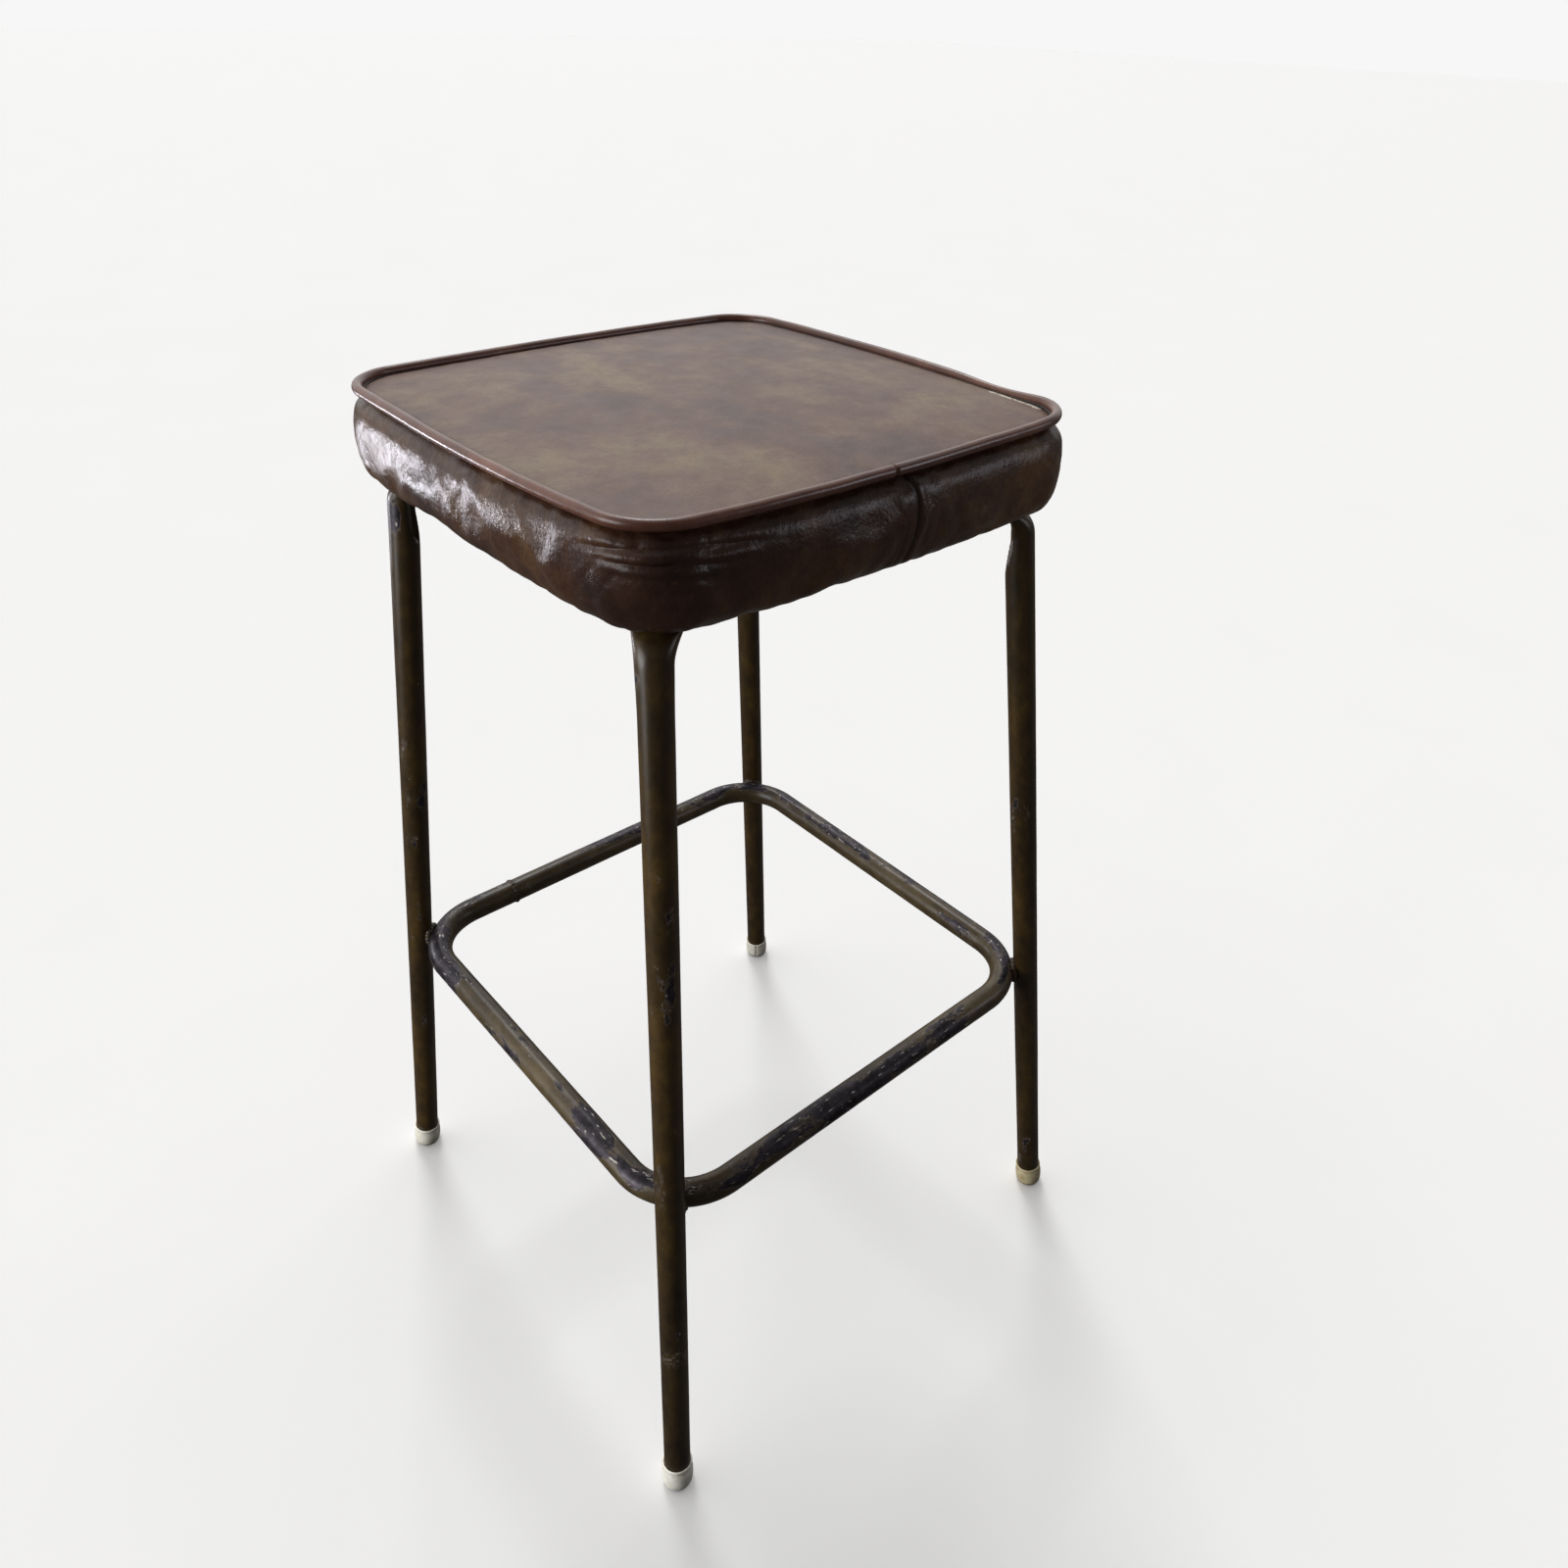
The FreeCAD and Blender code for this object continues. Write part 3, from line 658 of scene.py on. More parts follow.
def flattened_width(thickness):
    """Width of a tube pressed to a thickness, its wall keeping its length round."""
    return math.pi / 2 * 2 * TUBE_R - (math.pi / 2 - 1) * thickness


def leg_sections():
    """Sections of a leg on its diagonal, foot to tip.

    Each is (point on the outer wall, outward normal, thickness, squareness, dent depth,
    half width of the dent, height for wear marks).
    """
    tilt = math.atan(SLOPE)
    normal = np.array([math.cos(tilt), math.sin(tilt)])
    sections = []
    fine = np.arange(SCAR_Z - 16, SCAR_Z + 16, 0.8)
    heights = np.concatenate([np.arange(CAP_FLOOR, fine[0], 6.0), fine,
                              np.arange(fine[-1] + 3, CRUSH_START, 6.0),
                              np.arange(CRUSH_START, BEND_START, 0.7)])
    full = 2 * TUBE_R
    for z in heights:
        wall = np.array([leg_reach(z), z]) + normal * TUBE_R
        crush = float(smoothstep(CRUSH_START + 2, BEND_START + 6, z))
        thickness = full - NECK_PRESS * crush
        depth = DENT_DEPTH * float(smoothstep(DENT_Z - 1.5, DENT_Z + 5, z)) + 1.2 * crush
        half = DENT_HALF * math.sqrt(float(np.clip((z - DENT_Z + 1.5) / 20.0, 0, 1)))
        sections.append((wall, normal, thickness, 1.0, depth, half, z))
    wall = np.array([leg_reach(BEND_START), BEND_START]) + normal * TUBE_R
    radius = (SEAT_UNDER - wall[1]) / (1 - normal[1])
    centre = wall - normal * radius
    last = sections[-1]
    for share in np.linspace(0, 1, 28)[1:]:
        angle = tilt + (math.pi / 2 - tilt) * share
        normal = np.array([math.cos(angle), math.sin(angle)])
        thickness = last[2] + (LUG_THICK + BEND_KEEPS - last[2]) * share ** 2.0
        depth = last[4] * (1 - share) ** 1.2
        sections.append((centre + normal * radius, normal, thickness, 1 - 0.45 * share,
                         depth, 7.6, BEND_START + 17 * share))
    tip = centre[0] - LUG_TIP
    for run in np.concatenate([np.linspace(0, 18, 16)[1:], np.linspace(20, tip - 1.5, 16),
                               tip - np.array([1.0, 0.5, 0.2, 0.05])]):
        ease = float(smoothstep(0, 18, run))
        thickness = LUG_THICK + BEND_KEEPS * (1 - ease)
        sections.append((np.array([centre[0] - run, SEAT_UNDER]), np.array([0.0, 1.0]),
                         thickness, 0.55 - 0.25 * ease, 0.0, 7.6, SEAT_UNDER))
    return sections


def build_leg(corner, angle):
    sections = leg_sections()
    unit = circle(LEG_SEGMENTS)
    centres, normals, profiles, heights = [], [], [], []
    for wall, normal, thickness, square, depth, half, z in sections:
        width = flattened_width(thickness)
        if z >= SEAT_UNDER:
            beyond = LUG_TIP + LUG_WIDTH / 2 - wall[0]
            if beyond > 0:
                width = 2 * math.sqrt(max((LUG_WIDTH / 2) ** 2 - beyond ** 2, 0.04))
        x = thickness / 2 * np.sign(unit[:, 0]) * np.abs(unit[:, 0]) ** square - thickness / 2
        y = width / 2 * unit[:, 1]
        inner = smoothstep(0.0, 0.35, -unit[:, 0])
        floor = 1 - smoothstep(0.72, 1.06, np.abs(y) / max(half, 0.01))
        x = x + depth * inner * floor
        centres.append((wall[0], 0, wall[1]))
        normals.append((normal[0], 0, normal[1]))
        profiles.append(np.column_stack([x, y]))
        heights.append(z)
    obj = swept(f"leg_{corner}_visual", centres, normals, (0, 1, 0), np.array(profiles))
    p = points_of(obj)
    shaft = 1 - smoothstep(CRUSH_START - 10, CRUSH_START, p[:, 2])
    axis = np.column_stack([leg_reach(p[:, 2]), 0 * p[:, 1]])
    spoke = (p[:, :2] - axis) / TUBE_R
    seed = 40 + angle / 45
    ripple = 0.09 * wave(p, 45.0, seed) + 0.03 * wave(p, 9.0, seed + 1)
    p[:, :2] += spoke * (ripple * shaft)[:, None]
    level_z = np.append(np.repeat(heights, LEG_SEGMENTS), [heights[0], heights[-1]])
    scar = np.zeros(len(p))
    if corner == "front_right":
        face = smoothstep(0.1, 0.8, spoke @ np.array([0.94, 0.34]))
        notch = bell(p[:, 2] - SCAR_Z - 0.25 * p[:, 1], 1.3)
        worn = bell(p[:, 2] - SCAR_Z + 6, 5.5)
        p[:, :2] -= spoke * (face * (0.9 * notch + 0.35 * worn))[:, None]
        scar = face * np.clip(worn + 0.5 * notch, 0, 1)
    chipped = CHIPPED.get(corner, 0.0) * bell(level_z - CRUSH_START - 22, 16.0)
    side = smoothstep(0.3, 0.95, spoke @ CHIP_SIDE[corner])
    wear = 0.55 * bell(level_z - 8, 22.0)
    along = p[:, 2] + 500 * seed
    mark_on_tube(obj, along, spoke * TUBE_R)
    set_points(obj, turned(p, angle))
    mark(obj, worn=np.clip(wear + chipped * side, 0, 1), scar=scar)
    drill(obj, Vector(turned([[BOLT_REACH, 0, SEAT_UNDER]], angle)[0]), BOLT_HOLE_R)
    return obj


def drill(obj, place, radius):
    """Cuts a round hole up through a piece."""
    ring = circle(32) * radius
    centre = [(place.x, place.y, place.z - 20), (place.x, place.y, place.z + 20)]
    tool = swept("drill", centre, (1, 0, 0), (0, 1, 0), ring)
    cut = obj.modifiers.new("Hole", "BOOLEAN")
    cut.operation = "DIFFERENCE"
    cut.solver = "EXACT"
    cut.object = tool
    apply_modifiers(obj)
    bpy.data.objects.remove(tool)


# ---------------------------------------------------------------- footrest ring
def ring_line(step):
    """Points, outward normals, turn within a corner and distance round the ring, anticlockwise
    from its joint."""
    straight = RING_HALF - RING_BEND
    side, bend = 2 * straight, RING_BEND * math.pi / 2
    loop = 4 * (side + bend)
    start = 2 * (side + bend) + straight - RING_JOINT_Y
    count = int(loop / step)
    distance = start + loop * np.arange(count) / count
    quarter = np.floor(distance / (side + bend))
    rest = distance - quarter * (side + bend)
    on_side = rest < side
    angle = np.where(on_side, 0, (rest - side) / RING_BEND)
    normal = np.column_stack([np.cos(angle), np.sin(angle)])
    side_point = np.column_stack([np.full(count, RING_HALF), rest - straight])
    point = np.where(on_side[:, None], side_point, straight + RING_BEND * normal)
    return *quarter_turned(quarter, point, normal), angle, distance


def build_ring():
    plan, normal, angle, distance = ring_line(RING_STEP)
    count = len(plan)
    bent = np.sin(np.clip(angle, 0, math.pi / 2) * 2)
    centre = np.column_stack([plan, np.full(count, RING_Z)])
    side = np.column_stack([normal, np.zeros(count)])
    # A bend draws the tube slightly oval, flatter across the plane of the ring.
    oval = np.stack([TUBE_R * (1 - 0.035 * bent), TUBE_R * (1 + 0.02 * bent)], 1)
    profile = circle(RING_SEGMENTS)[None] * oval[:, None]
    obj = swept("footrest_ring_visual", centre, side, (0, 0, 1), profile, closed=True)
    p = points_of(obj)
    outward = np.repeat(side, RING_SEGMENTS, 0)
    section = (p - np.repeat(centre, RING_SEGMENTS, 0)) / TUBE_R
    dents = 0.1 * wave(p, 34.0, 51) + 0.05 * wave(p, 10.0, 52)
    p += section * dents[:, None]
    top = section[:, 2]
    out = np.einsum("ij,ij->i", section, outward)
    # Shoes rub the upper and outer faces bare, most of all on the front and right runs.
    trodden = np.maximum(-p[:, 1], p[:, 0]) / RING_HALF
    run = smoothstep(0.55, 0.95, trodden)
    rubbed = smoothstep(-0.35, 0.6, 0.6 * top + 0.65 * out)
    rubbed_back = 0.75 * smoothstep(0.0, 0.8, top)
    # Feet come up onto the ring beside the front corner, not on it.
    corner = np.array([RING_HALF - 30, 30 - RING_HALF])
    run *= 1 - 0.75 * bell(np.linalg.norm(p[:, :2] - corner, axis=1), 75.0)
    set_points(obj, p)
    mark_on_tube(obj, np.repeat(distance, RING_SEGMENTS), np.column_stack([out, top]) * TUBE_R)
    mark(obj, worn=np.clip(run * rubbed + (1 - run) * rubbed_back, 0, 1), scar=0)
    return obj


def bead(name, centre, side, up, radius, ripple_seed):
    """Closed weld bead: a loop of tube with overlapping ripples."""
    count = len(centre)
    turn = np.arange(count) / count
    beat = np.abs(np.sin(turn * math.pi * WELD_RIPPLES)) ** 0.7
    size = radius * (0.86 + 0.2 * beat + 0.1 * wave(np.asarray(centre), 6.0, ripple_seed))
    profile = circle(BEAD_SEGMENTS)[None] * size[:, None, None]
    obj = swept(name, centre, side, up, profile, closed=True)
    p = points_of(obj)
    core = np.repeat(centre, BEAD_SEGMENTS, 0)
    p += (p - core) * (0.12 * wave(p, 2.2, ripple_seed + 1))[:, None]
    set_points(obj, p)
    mark_on_tube(obj, p[:, 0], p[:, 1:])
    mark(obj, worn=0.35, scar=0)
    return obj


def build_butt_weld():
    """Bead round the tube where the ring's two ends meet."""
    angle = np.linspace(0, 2 * math.pi, BUTT_SECTIONS, endpoint=False)
    spoke = np.column_stack([np.cos(angle), 0 * angle, np.sin(angle)])
    centre = np.array([-RING_HALF, RING_JOINT_Y, RING_Z]) + spoke * (TUBE_R - 0.9)
    return bead("ring_butt_weld_visual", centre, spoke, (0, 1, 0), radius=1.9, ripple_seed=61)


def build_ring_weld(corner, angle):
    """Bead round the touching line of the ring's corner and the leg."""
    turn = np.linspace(0, 2 * math.pi, WELD_SECTIONS, endpoint=False)
    ring_face = (RING_HALF - RING_BEND) * math.sqrt(2) + RING_BEND + TUBE_R
    leg_face = leg_reach(RING_Z) - TUBE_R
    reach = (ring_face + leg_face) / 2
    across, tall = 6.2, 6.8
    height = RING_Z + tall * np.sin(turn)
    centre = np.column_stack([reach - SLOPE * (height - RING_Z) * 0.6, across * np.cos(turn), height])
    spoke = np.column_stack([0 * turn, np.cos(turn), np.sin(turn)])
    obj = bead(f"ring_weld_{corner}_visual", centre, spoke, (1, 0, 0), radius=3.3,
               ripple_seed=70 + angle / 45)
    set_points(obj, turned(points_of(obj), angle))
    return obj


# ---------------------------------------------------------------- turned pieces
def lathe(name, profile, segments, radius_at=None):
    """Turned piece on the Z axis from (radius, height) points, bottom middle to top middle."""
    unit = circle(segments)
    rings = []
    for r, z in profile:
        scale = radius_at(unit, r) if radius_at else np.full(segments, r)
        rings.append(np.column_stack([unit * scale[:, None], np.full(segments, z)]))
    return capped_tube(name, np.vstack(rings), len(profile), segments)


def rounded_profile(points, step=0.35, rounding=3):
    """A (radius, height) outline sampled finely, its corners eased by averaging."""
    points = np.asarray(points, float)
    length = np.concatenate([[0], np.cumsum(np.linalg.norm(np.diff(points, axis=0), axis=1))])
    at = np.linspace(0, length[-1], int(length[-1] / step))
    fine = np.column_stack([np.interp(at, length, points[:, k]) for k in (0, 1)])
    for _ in range(rounding):
        fine[1:-1] = (fine[:-2] + 2 * fine[1:-1] + fine[2:]) / 4
    return fine


def build_foot_cap(corner, angle):
    """Push-on plastic ferrule round the foot of a leg, worn level underneath."""
    wall = TUBE_R + 0.05
    outside = rounded_profile([
        (0.3, -1.8), (7.2, -1.8), (9.4, -0.4), (10.6, 2.0), (11.2, 5.5), (CAP_R, 8.5),
        (CAP_R - 0.1, 13.3), (CAP_R - 0.6, 17.5), (CAP_R - 0.8, 18.8), (CAP_R - 0.45, 19.8),
        (CAP_R - 0.4, 21.2), (CAP_RIM_R + 0.2, CAP_HEIGHT), (wall, CAP_HEIGHT - 0.4), (wall, 12.0),
        (wall, CAP_FLOOR), (6.0, CAP_FLOOR), (0.3, CAP_FLOOR),
    ])
    obj = lathe(f"foot_cap_{corner}_visual", outside, CAP_SEGMENTS)
    p = points_of(obj)
    spoke = p[:, :2] / np.maximum(np.linalg.norm(p[:, :2], axis=1), 1e-6)[:, None]
    outer = smoothstep(wall + 0.2, wall + 0.6, np.linalg.norm(p[:, :2], axis=1))
    seed = 80 + angle / 45
    uneven = 0.12 * wave(p, 7.0, seed) + 0.05 * wave(p, 2.5, seed + 1)
    crack = np.zeros(len(p))
    if corner in CRACKED:
        bearing = np.degrees(np.arctan2(p[:, 1], p[:, 0]))
        miss = (bearing - CRACKED[corner] + 0.9 * np.sin(p[:, 2] * 1.1) + 180) % 360 - 180
        crack = bell(miss, 3.4) * smoothstep(3.0, 6.0, p[:, 2])
    p[:, :2] += spoke * (outer * (uneven - 1.0 * crack))[:, None]
    lean = math.atan(SLOPE)
    x = FOOT_REACH + p[:, 0] * math.cos(lean) - p[:, 2] * math.sin(lean)
    z = p[:, 0] * math.sin(lean) + p[:, 2] * math.cos(lean)
    dirt = (1 - smoothstep(1.0, 5.0, z)) * 0.8 + 0.7 * crack
    p = np.column_stack([x, p[:, 1], np.maximum(z, 0)])
    set_points(obj, turned(p, angle))
    mark(obj, dirt=np.clip(dirt, 0, 1), yellow=CAP_YELLOW[corner])
    return obj


def hexagon(unit, radius):
    """Radius of a hexagon round a bolt, held inside a turned chamfer."""
    bearing = np.arctan2(unit[:, 1], unit[:, 0]) % (math.pi / 3) - math.pi / 6
    return np.minimum(BOLT_FLATS / 2 / np.cos(bearing), radius)


def at_bolts(name, make):
    """One object that holds a copy of a small piece at each leg's bolt."""
    made = []
    for k, angle in enumerate(CORNERS.values()):
        part = make(k)
        place = turned([[BOLT_REACH, 0, 0]], angle)[0]
        turn = angle + 37 * k
        set_points(part, turned(points_of(part), turn) + place)
        made.append(part)
    return joined(name, made)


def joined(name, parts):
    bpy.ops.object.select_all(action="DESELECT")
    for part in parts:
        part.select_set(True)
    bpy.context.view_layer.objects.active = parts[0]
    bpy.ops.object.join()
    parts[0].name = name
    return parts[0]


def bolt(k):
    seat = SEAT_UNDER - LUG_THICK - WASHER_THICK
    tip = BOLT_FLATS / 2 * 1.16
    head = [(0.3, seat - BOLT_HEAD), (4.3, seat - BOLT_HEAD), (4.75, seat - BOLT_HEAD + 0.15),
            (5.4, seat - BOLT_HEAD + 0.5), (tip, seat - BOLT_HEAD + 0.9), (tip, seat - 0.5),
            (5.3, seat - 0.1), (5.0, seat), (BOLT_R + 0.1, seat)]
    threads = []
    for turn in range(14):
        z = seat + 1.5 + turn
        threads += [(BOLT_R, z), (BOLT_R, z + 0.2), (BOLT_R - 0.45, z + 0.5), (BOLT_R - 0.45, z + 0.7)]
    threads += [(BOLT_R - 0.5, seat + 15.7), (0.3, seat + BOLT_LENGTH)]
    return lathe(f"bolt_{k}", head + threads, 60, hexagon)


def washer(k):
    top = SEAT_UNDER - LUG_THICK
    low = top - WASHER_THICK
    ring = circle(48)
    corner = 0.25
    section = [(BOLT_HOLE_R, low + 0.1), (BOLT_HOLE_R, top - 0.1), (WASHER_R - corner, top),
               (WASHER_R, top - corner), (WASHER_R, low + corner), (WASHER_R - corner, low),
               (BOLT_HOLE_R + 0.1, low)]
    points = np.array([(c * r, s * r, z) for c, s in ring for r, z in section])
    n = len(section)
    faces = []
    for a in range(len(ring)):
        b = (a + 1) % len(ring)
        for j in range(n):
            i = (j + 1) % n
            faces.append((a * n + j, a * n + i, b * n + i, b * n + j))
    return new_mesh(f"washer_{k}", points, faces)


def build_staples():
    """Wire staples in the hem, five to a side, each a little askew."""
    parts = []
    bend = np.linspace(0, math.pi / 2, 6)
    for quarter in range(4):
        for k in (-2, -1, 0, 1, 2):
            half, drop, radius = STAPLE_LENGTH / 2, STAPLE_WIRE / 2, 0.9
            y = half - radius + radius * np.sin(bend)
            z = radius - radius * np.cos(bend)
            path = [(-half, 2.4), *zip(-y[::-1], z[::-1]), *zip(y, z), (half, 2.4)]
            line = np.array([(0.0, a, SEAT_UNDER - drop + b) for a, b in path])
            ahead = np.gradient(line, axis=0)
            ahead /= np.linalg.norm(ahead, axis=1)[:, None]
            side = (1, 0, 0)
            up = np.cross(ahead, side)
            wire = circle(12) * np.array([STAPLE_WIDTH, STAPLE_WIRE]) / 2
            part = swept(f"staple_{quarter}_{k}", line, side, up, wire)
            askew = 9 * noise.noise(Vector((quarter * 3.7, k * 2.3, 0.5)))
            shift = 2.2 * noise.noise(Vector((quarter * 1.9, k * 4.1, 7.5)))
            place = np.array([SEAT_HALF - STAPLE_INSET + shift, k * STAPLE_PITCH + shift, 0])
            p = turned(points_of(part), askew) + place
            set_points(part, turned(p, 90 * quarter))
            parts.append(part)
    return joined("hem_staples_visual", parts)


def build_foam():
    """Foam block between the board and the cover, held in from the cover all round."""
    place = 4 * np.arange(FOAM_COLUMNS) / FOAM_COLUMNS
    rows = [(BOARD_TOP + 0.3, -60.0), (BOARD_TOP + 0.3, -20.0), (BOARD_TOP + 0.3, -6.0)]
    clear = COVER + 2.0
    for rise, out in BAND_SECTION[::-1]:
        if BOARD_TOP + 1.5 < SEAT_UNDER + rise < PIPING_Z - 5:
            rows.append((SEAT_UNDER + rise, out - clear))
    rows += [(PIPING_Z - 4.2, -6.6), (PIPING_Z - 2.8, -8.5)]
    skin = []
    for height, out in rows:
        base, normal = outline(place)
        skin.append(np.column_stack([base + normal * out, np.full(len(base), height)]))
    base, _ = outline(place)
    for share in (0.92, 0.84, 0.7, 0.5, 0.3, 0.12):
        plan = base * share
        skin.append(np.column_stack([plan, crown_height(plan[:, 0], plan[:, 1]) - clear - 1.0]))
    points = np.vstack(skin)
    faces = grid_faces(len(skin), len(place), wrap=True)
    for row, order in ((0, -1), (len(skin) - 1, 1)):
        loop = [row * len(place) + k for k in range(len(place))]
        faces.append(tuple(loop[::order]))
    obj = new_mesh("seat_foam_visual", points, faces)
    p = points_of(obj)
    set_points(obj, corner_pull(p + 0.25 * wave(p, 12.0, 91)[:, None] * np.array([0, 0, 1])))
    return obj


# ---------------------------------------------------------------- materials
# Glow of the floor's paper, which only the camera sees.
PAPER_GLOW = 0.15


class Finish:
    """A node material in object coordinates. Its small methods add a node and return its output."""

    def __init__(self, name, roughness=0.5, specular=0.5, metallic=0.0):
        self.material = bpy.data.materials.new(name)
        self.material.use_nodes = True
        tree = self.material.node_tree
        self.nodes, self.links = tree.nodes, tree.links
        self.shader = self.nodes["Principled BSDF"]
        self.set("Roughness", roughness)
        self.set("Specular IOR Level", specular)
        self.set("Metallic", metallic)
        self.place = self.nodes.new("ShaderNodeTexCoord").outputs["Object"]
        self.normal = None

    def put(self, socket, value):
        """Links an output to a socket, or sets the socket's own value."""
        if isinstance(value, bpy.types.NodeSocket):
            self.links.new(value, socket)
        else:
            socket.default_value = value

    def set(self, name, value):
        self.put(self.shader.inputs[name], value)

    def add(self, kind, **inputs):
        """A new node, its inputs linked or set by name."""
        node = self.nodes.new("ShaderNode" + kind)
        for name, value in inputs.items():
            self.put(node.inputs[name.replace("_", " ")], value)
        return node

    def stretched(self, x, y, z, at=None):
        return self.add("Mapping", Scale=(x, y, z), Vector=at or self.place).outputs["Vector"]

    def noise(self, size_mm, detail=3.0, rough=0.5, at=None, twist=0.0):
        node = self.add("TexNoise", Vector=at or self.place, Scale=1000 / size_mm, Detail=detail,
                        Roughness=rough, Distortion=twist)
        return node.outputs["Fac"]

    def cells(self, size_mm, feature="SMOOTH_F1"):
        node = self.add("TexVoronoi", Vector=self.place, Scale=1000 / size_mm)
        node.feature = feature
        return node.outputs["Distance"]

    def step(self, value, low, high):
        """0 below low, 1 above high, smooth between."""
        node = self.add("MapRange", Value=value, From_Min=low, From_Max=high)
        node.interpolation_type = "SMOOTHSTEP"
        return node.outputs["Result"]

    def scaled(self, value, low, high):
        """A 0 to 1 value laid onto low to high."""
        return self.add("MapRange", Value=value, To_Min=low, To_Max=high).outputs["Result"]

    def calc(self, kind, a, b):
        node = self.add("Math")
        node.operation = kind
        self.put(node.inputs[0], a)
        self.put(node.inputs[1], b)
        return node.outputs[0]

    def times(self, a, b):
        return self.calc("MULTIPLY", a, b)

    def plus(self, a, b):
        return self.calc("ADD", a, b)

    def mix(self, share, a, b):
        node = self.add("Mix")
        node.data_type = "RGBA"
        self.put(node.inputs["Factor"], share)
        self.put(node.inputs["A"], a)
        self.put(node.inputs["B"], b)
        return node.outputs["Result"]

    def tinted(self, colour, mask, share, tint):
        """A colour moved towards a tint by a share of a mask."""
        return self.mix(self.times(mask, share), colour, tint)

    def ramp(self, value, *stops):
        node = self.add("ValToRGB", Fac=value)
        while len(node.color_ramp.elements) < len(stops):
            node.color_ramp.elements.new(0.5)
        for element, (at, colour) in zip(node.color_ramp.elements, stops):
            element.position = at
            element.color = colour
        return node.outputs["Color"]

    def attribute(self, name, output="Fac"):
        node = self.add("Attribute")
        node.attribute_name = name
        return node.outputs[output]

    def bump(self, height, depth_mm):
        node = self.add("Bump", Distance=depth_mm * MM, Strength=1.0, Height=height)
        if self.normal:
            self.put(node.inputs["Normal"], self.normal)
        self.normal = node.outputs["Normal"]
        self.set("Normal", self.normal)


def vinyl(name, dark, mid, light, roughness, grain_mm, grain_depth, specular, crinkle=0.0):
    """Printed leather-look vinyl: cloudy colour, fine speckle, an embossed grain, and painted shade in its
    recesses and seam.
    """
    f = Finish(name, specular=specular)
    clouds = f.noise(95, 4, 0.55, twist=0.6)
    blots = f.noise(24, 6, 0.62)
    mottle = f.plus(f.times(clouds, 0.55), f.times(blots, 0.45))
    colour = f.ramp(mottle, (0.36, dark), (0.5, mid), (0.63, light))
    speckle = f.step(f.noise(3.2, 5, 0.7), 0.46, 0.7)
    colour = f.tinted(colour, speckle, 0.45, dark)
    scuffs = f.step(f.noise(7, 8, 0.75, at=f.stretched(1, 1, 1.6)), 0.56, 0.72)
    colour = f.tinted(colour, scuffs, 0.35, light)
    # Painted shade: near black where a piece is marked with gap, under the piping and in the band's seam.
    colour = f.tinted(colour, f.attribute("gap"), 0.85, srgb(14, 9, 7))
    torn = f.attribute("torn")
    backing = f.ramp(f.noise(3.4, 6, 0.75), (0.36, srgb(84, 68, 56)), (0.5, srgb(214, 206, 190)))
    colour = f.mix(f.step(torn, 0.55, 0.75), colour, backing)
    f.set("Base Color", colour)
    shine = f.scaled(f.noise(16, 5, 0.65), roughness - 0.09, roughness + 0.11)
    f.set("Roughness", f.calc("MAXIMUM", shine, f.times(torn, 0.9)))
    grain = f.cells(grain_mm)
    f.bump(grain, grain_depth)
    f.bump(f.noise(grain_mm * 0.4, 3, 0.6), grain_depth * 0.5)
    if crinkle:
        f.bump(f.noise(7.5, 6, 0.68, at=f.stretched(1, 1, 0.7), twist=0.8), crinkle)
    return f.material


def worn_paint(name, dark, mid, light, bare_amount, patch_mm):
    """Old bronze-brown stoving paint, rubbed through to taupe primer and dark steel, with pale flecks of
    painted glint on the rubbed edges.

    Its marks follow the tube: they are drawn out along it, and the bare places join up
    where a piece is marked as worn.
    """
    f = Finish(name, specular=0.28)
    tube = f.attribute("on_tube", "Vector")
    drift = f.noise(40, 4, 0.55, at=f.stretched(0.3, 1.0, 1.0, tube))
    stain = f.noise(9, 6, 0.65, at=f.stretched(0.6, 1.0, 1.0, tube))
    tone = f.plus(f.times(drift, 0.6), f.times(stain, 0.4))
    paint = f.ramp(tone, (0.36, dark), (0.5, mid), (0.64, light))
    paint = f.tinted(paint, f.step(f.noise(1.7, 3, at=tube), 0.55, 0.75), 0.3, dark)
    patches = f.noise(patch_mm, 5, 0.5, at=f.stretched(0.32, 0.8, 0.8, tube))
    ragged = f.noise(3.6, 7, 0.7, at=f.stretched(0.55, 1.0, 1.0, tube))
    level = f.plus(f.times(patches, 0.78), f.times(ragged, 0.22))
    level = f.plus(level, f.times(f.attribute("worn"), bare_amount))
    edge = f.step(level, 0.625, 0.65)
    bare = f.step(level, 0.655, 0.67)
    taupe = f.ramp(f.noise(4, 4, 0.6, at=tube), (0.35, srgb(54, 45, 38)), (0.65, srgb(86, 76, 66)))
    steel = f.ramp(f.noise(6, 5, 0.6, at=tube), (0.35, srgb(20, 18, 21)), (0.65, srgb(52, 47, 54)))
    colour = f.tinted(paint, edge, 0.75, taupe)
    colour = f.mix(bare, colour, steel)
    # Painted highlight: pale flecks on the rubbed edges stand for glints of light caught on bare dents.
    painted_glints = f.step(f.noise(2.2, 3, 0.6, at=f.stretched(0.3, 1.0, 1.0, tube)), 0.63, 0.67)
    colour = f.tinted(colour, f.times(painted_glints, edge), 0.7, srgb(164, 158, 150))
    scar = f.attribute("scar")
    smudge = f.times(f.step(f.noise(2.6, 5, 0.7), 0.45, 0.6), scar)
    colour = f.tinted(colour, smudge, 0.5, srgb(120, 112, 102))
    f.set("Base Color", colour)
    f.set("Metallic", f.times(bare, 0.5))
    rough = f.scaled(f.noise(11, 5, 0.6, at=f.stretched(0.5, 1.0, 1.0, tube)), 0.24, 0.44)
    f.set("Roughness", f.plus(rough, f.times(edge, 0.06)))
    f.bump(f.times(bare, -1.0), 0.08)
    f.bump(f.noise(2.4, 4, 0.6, at=tube), 0.05)
    f.bump(f.noise(16, 3, 0.5, at=f.stretched(0.6, 1.0, 1.0, tube)), 0.2)
    return f.material


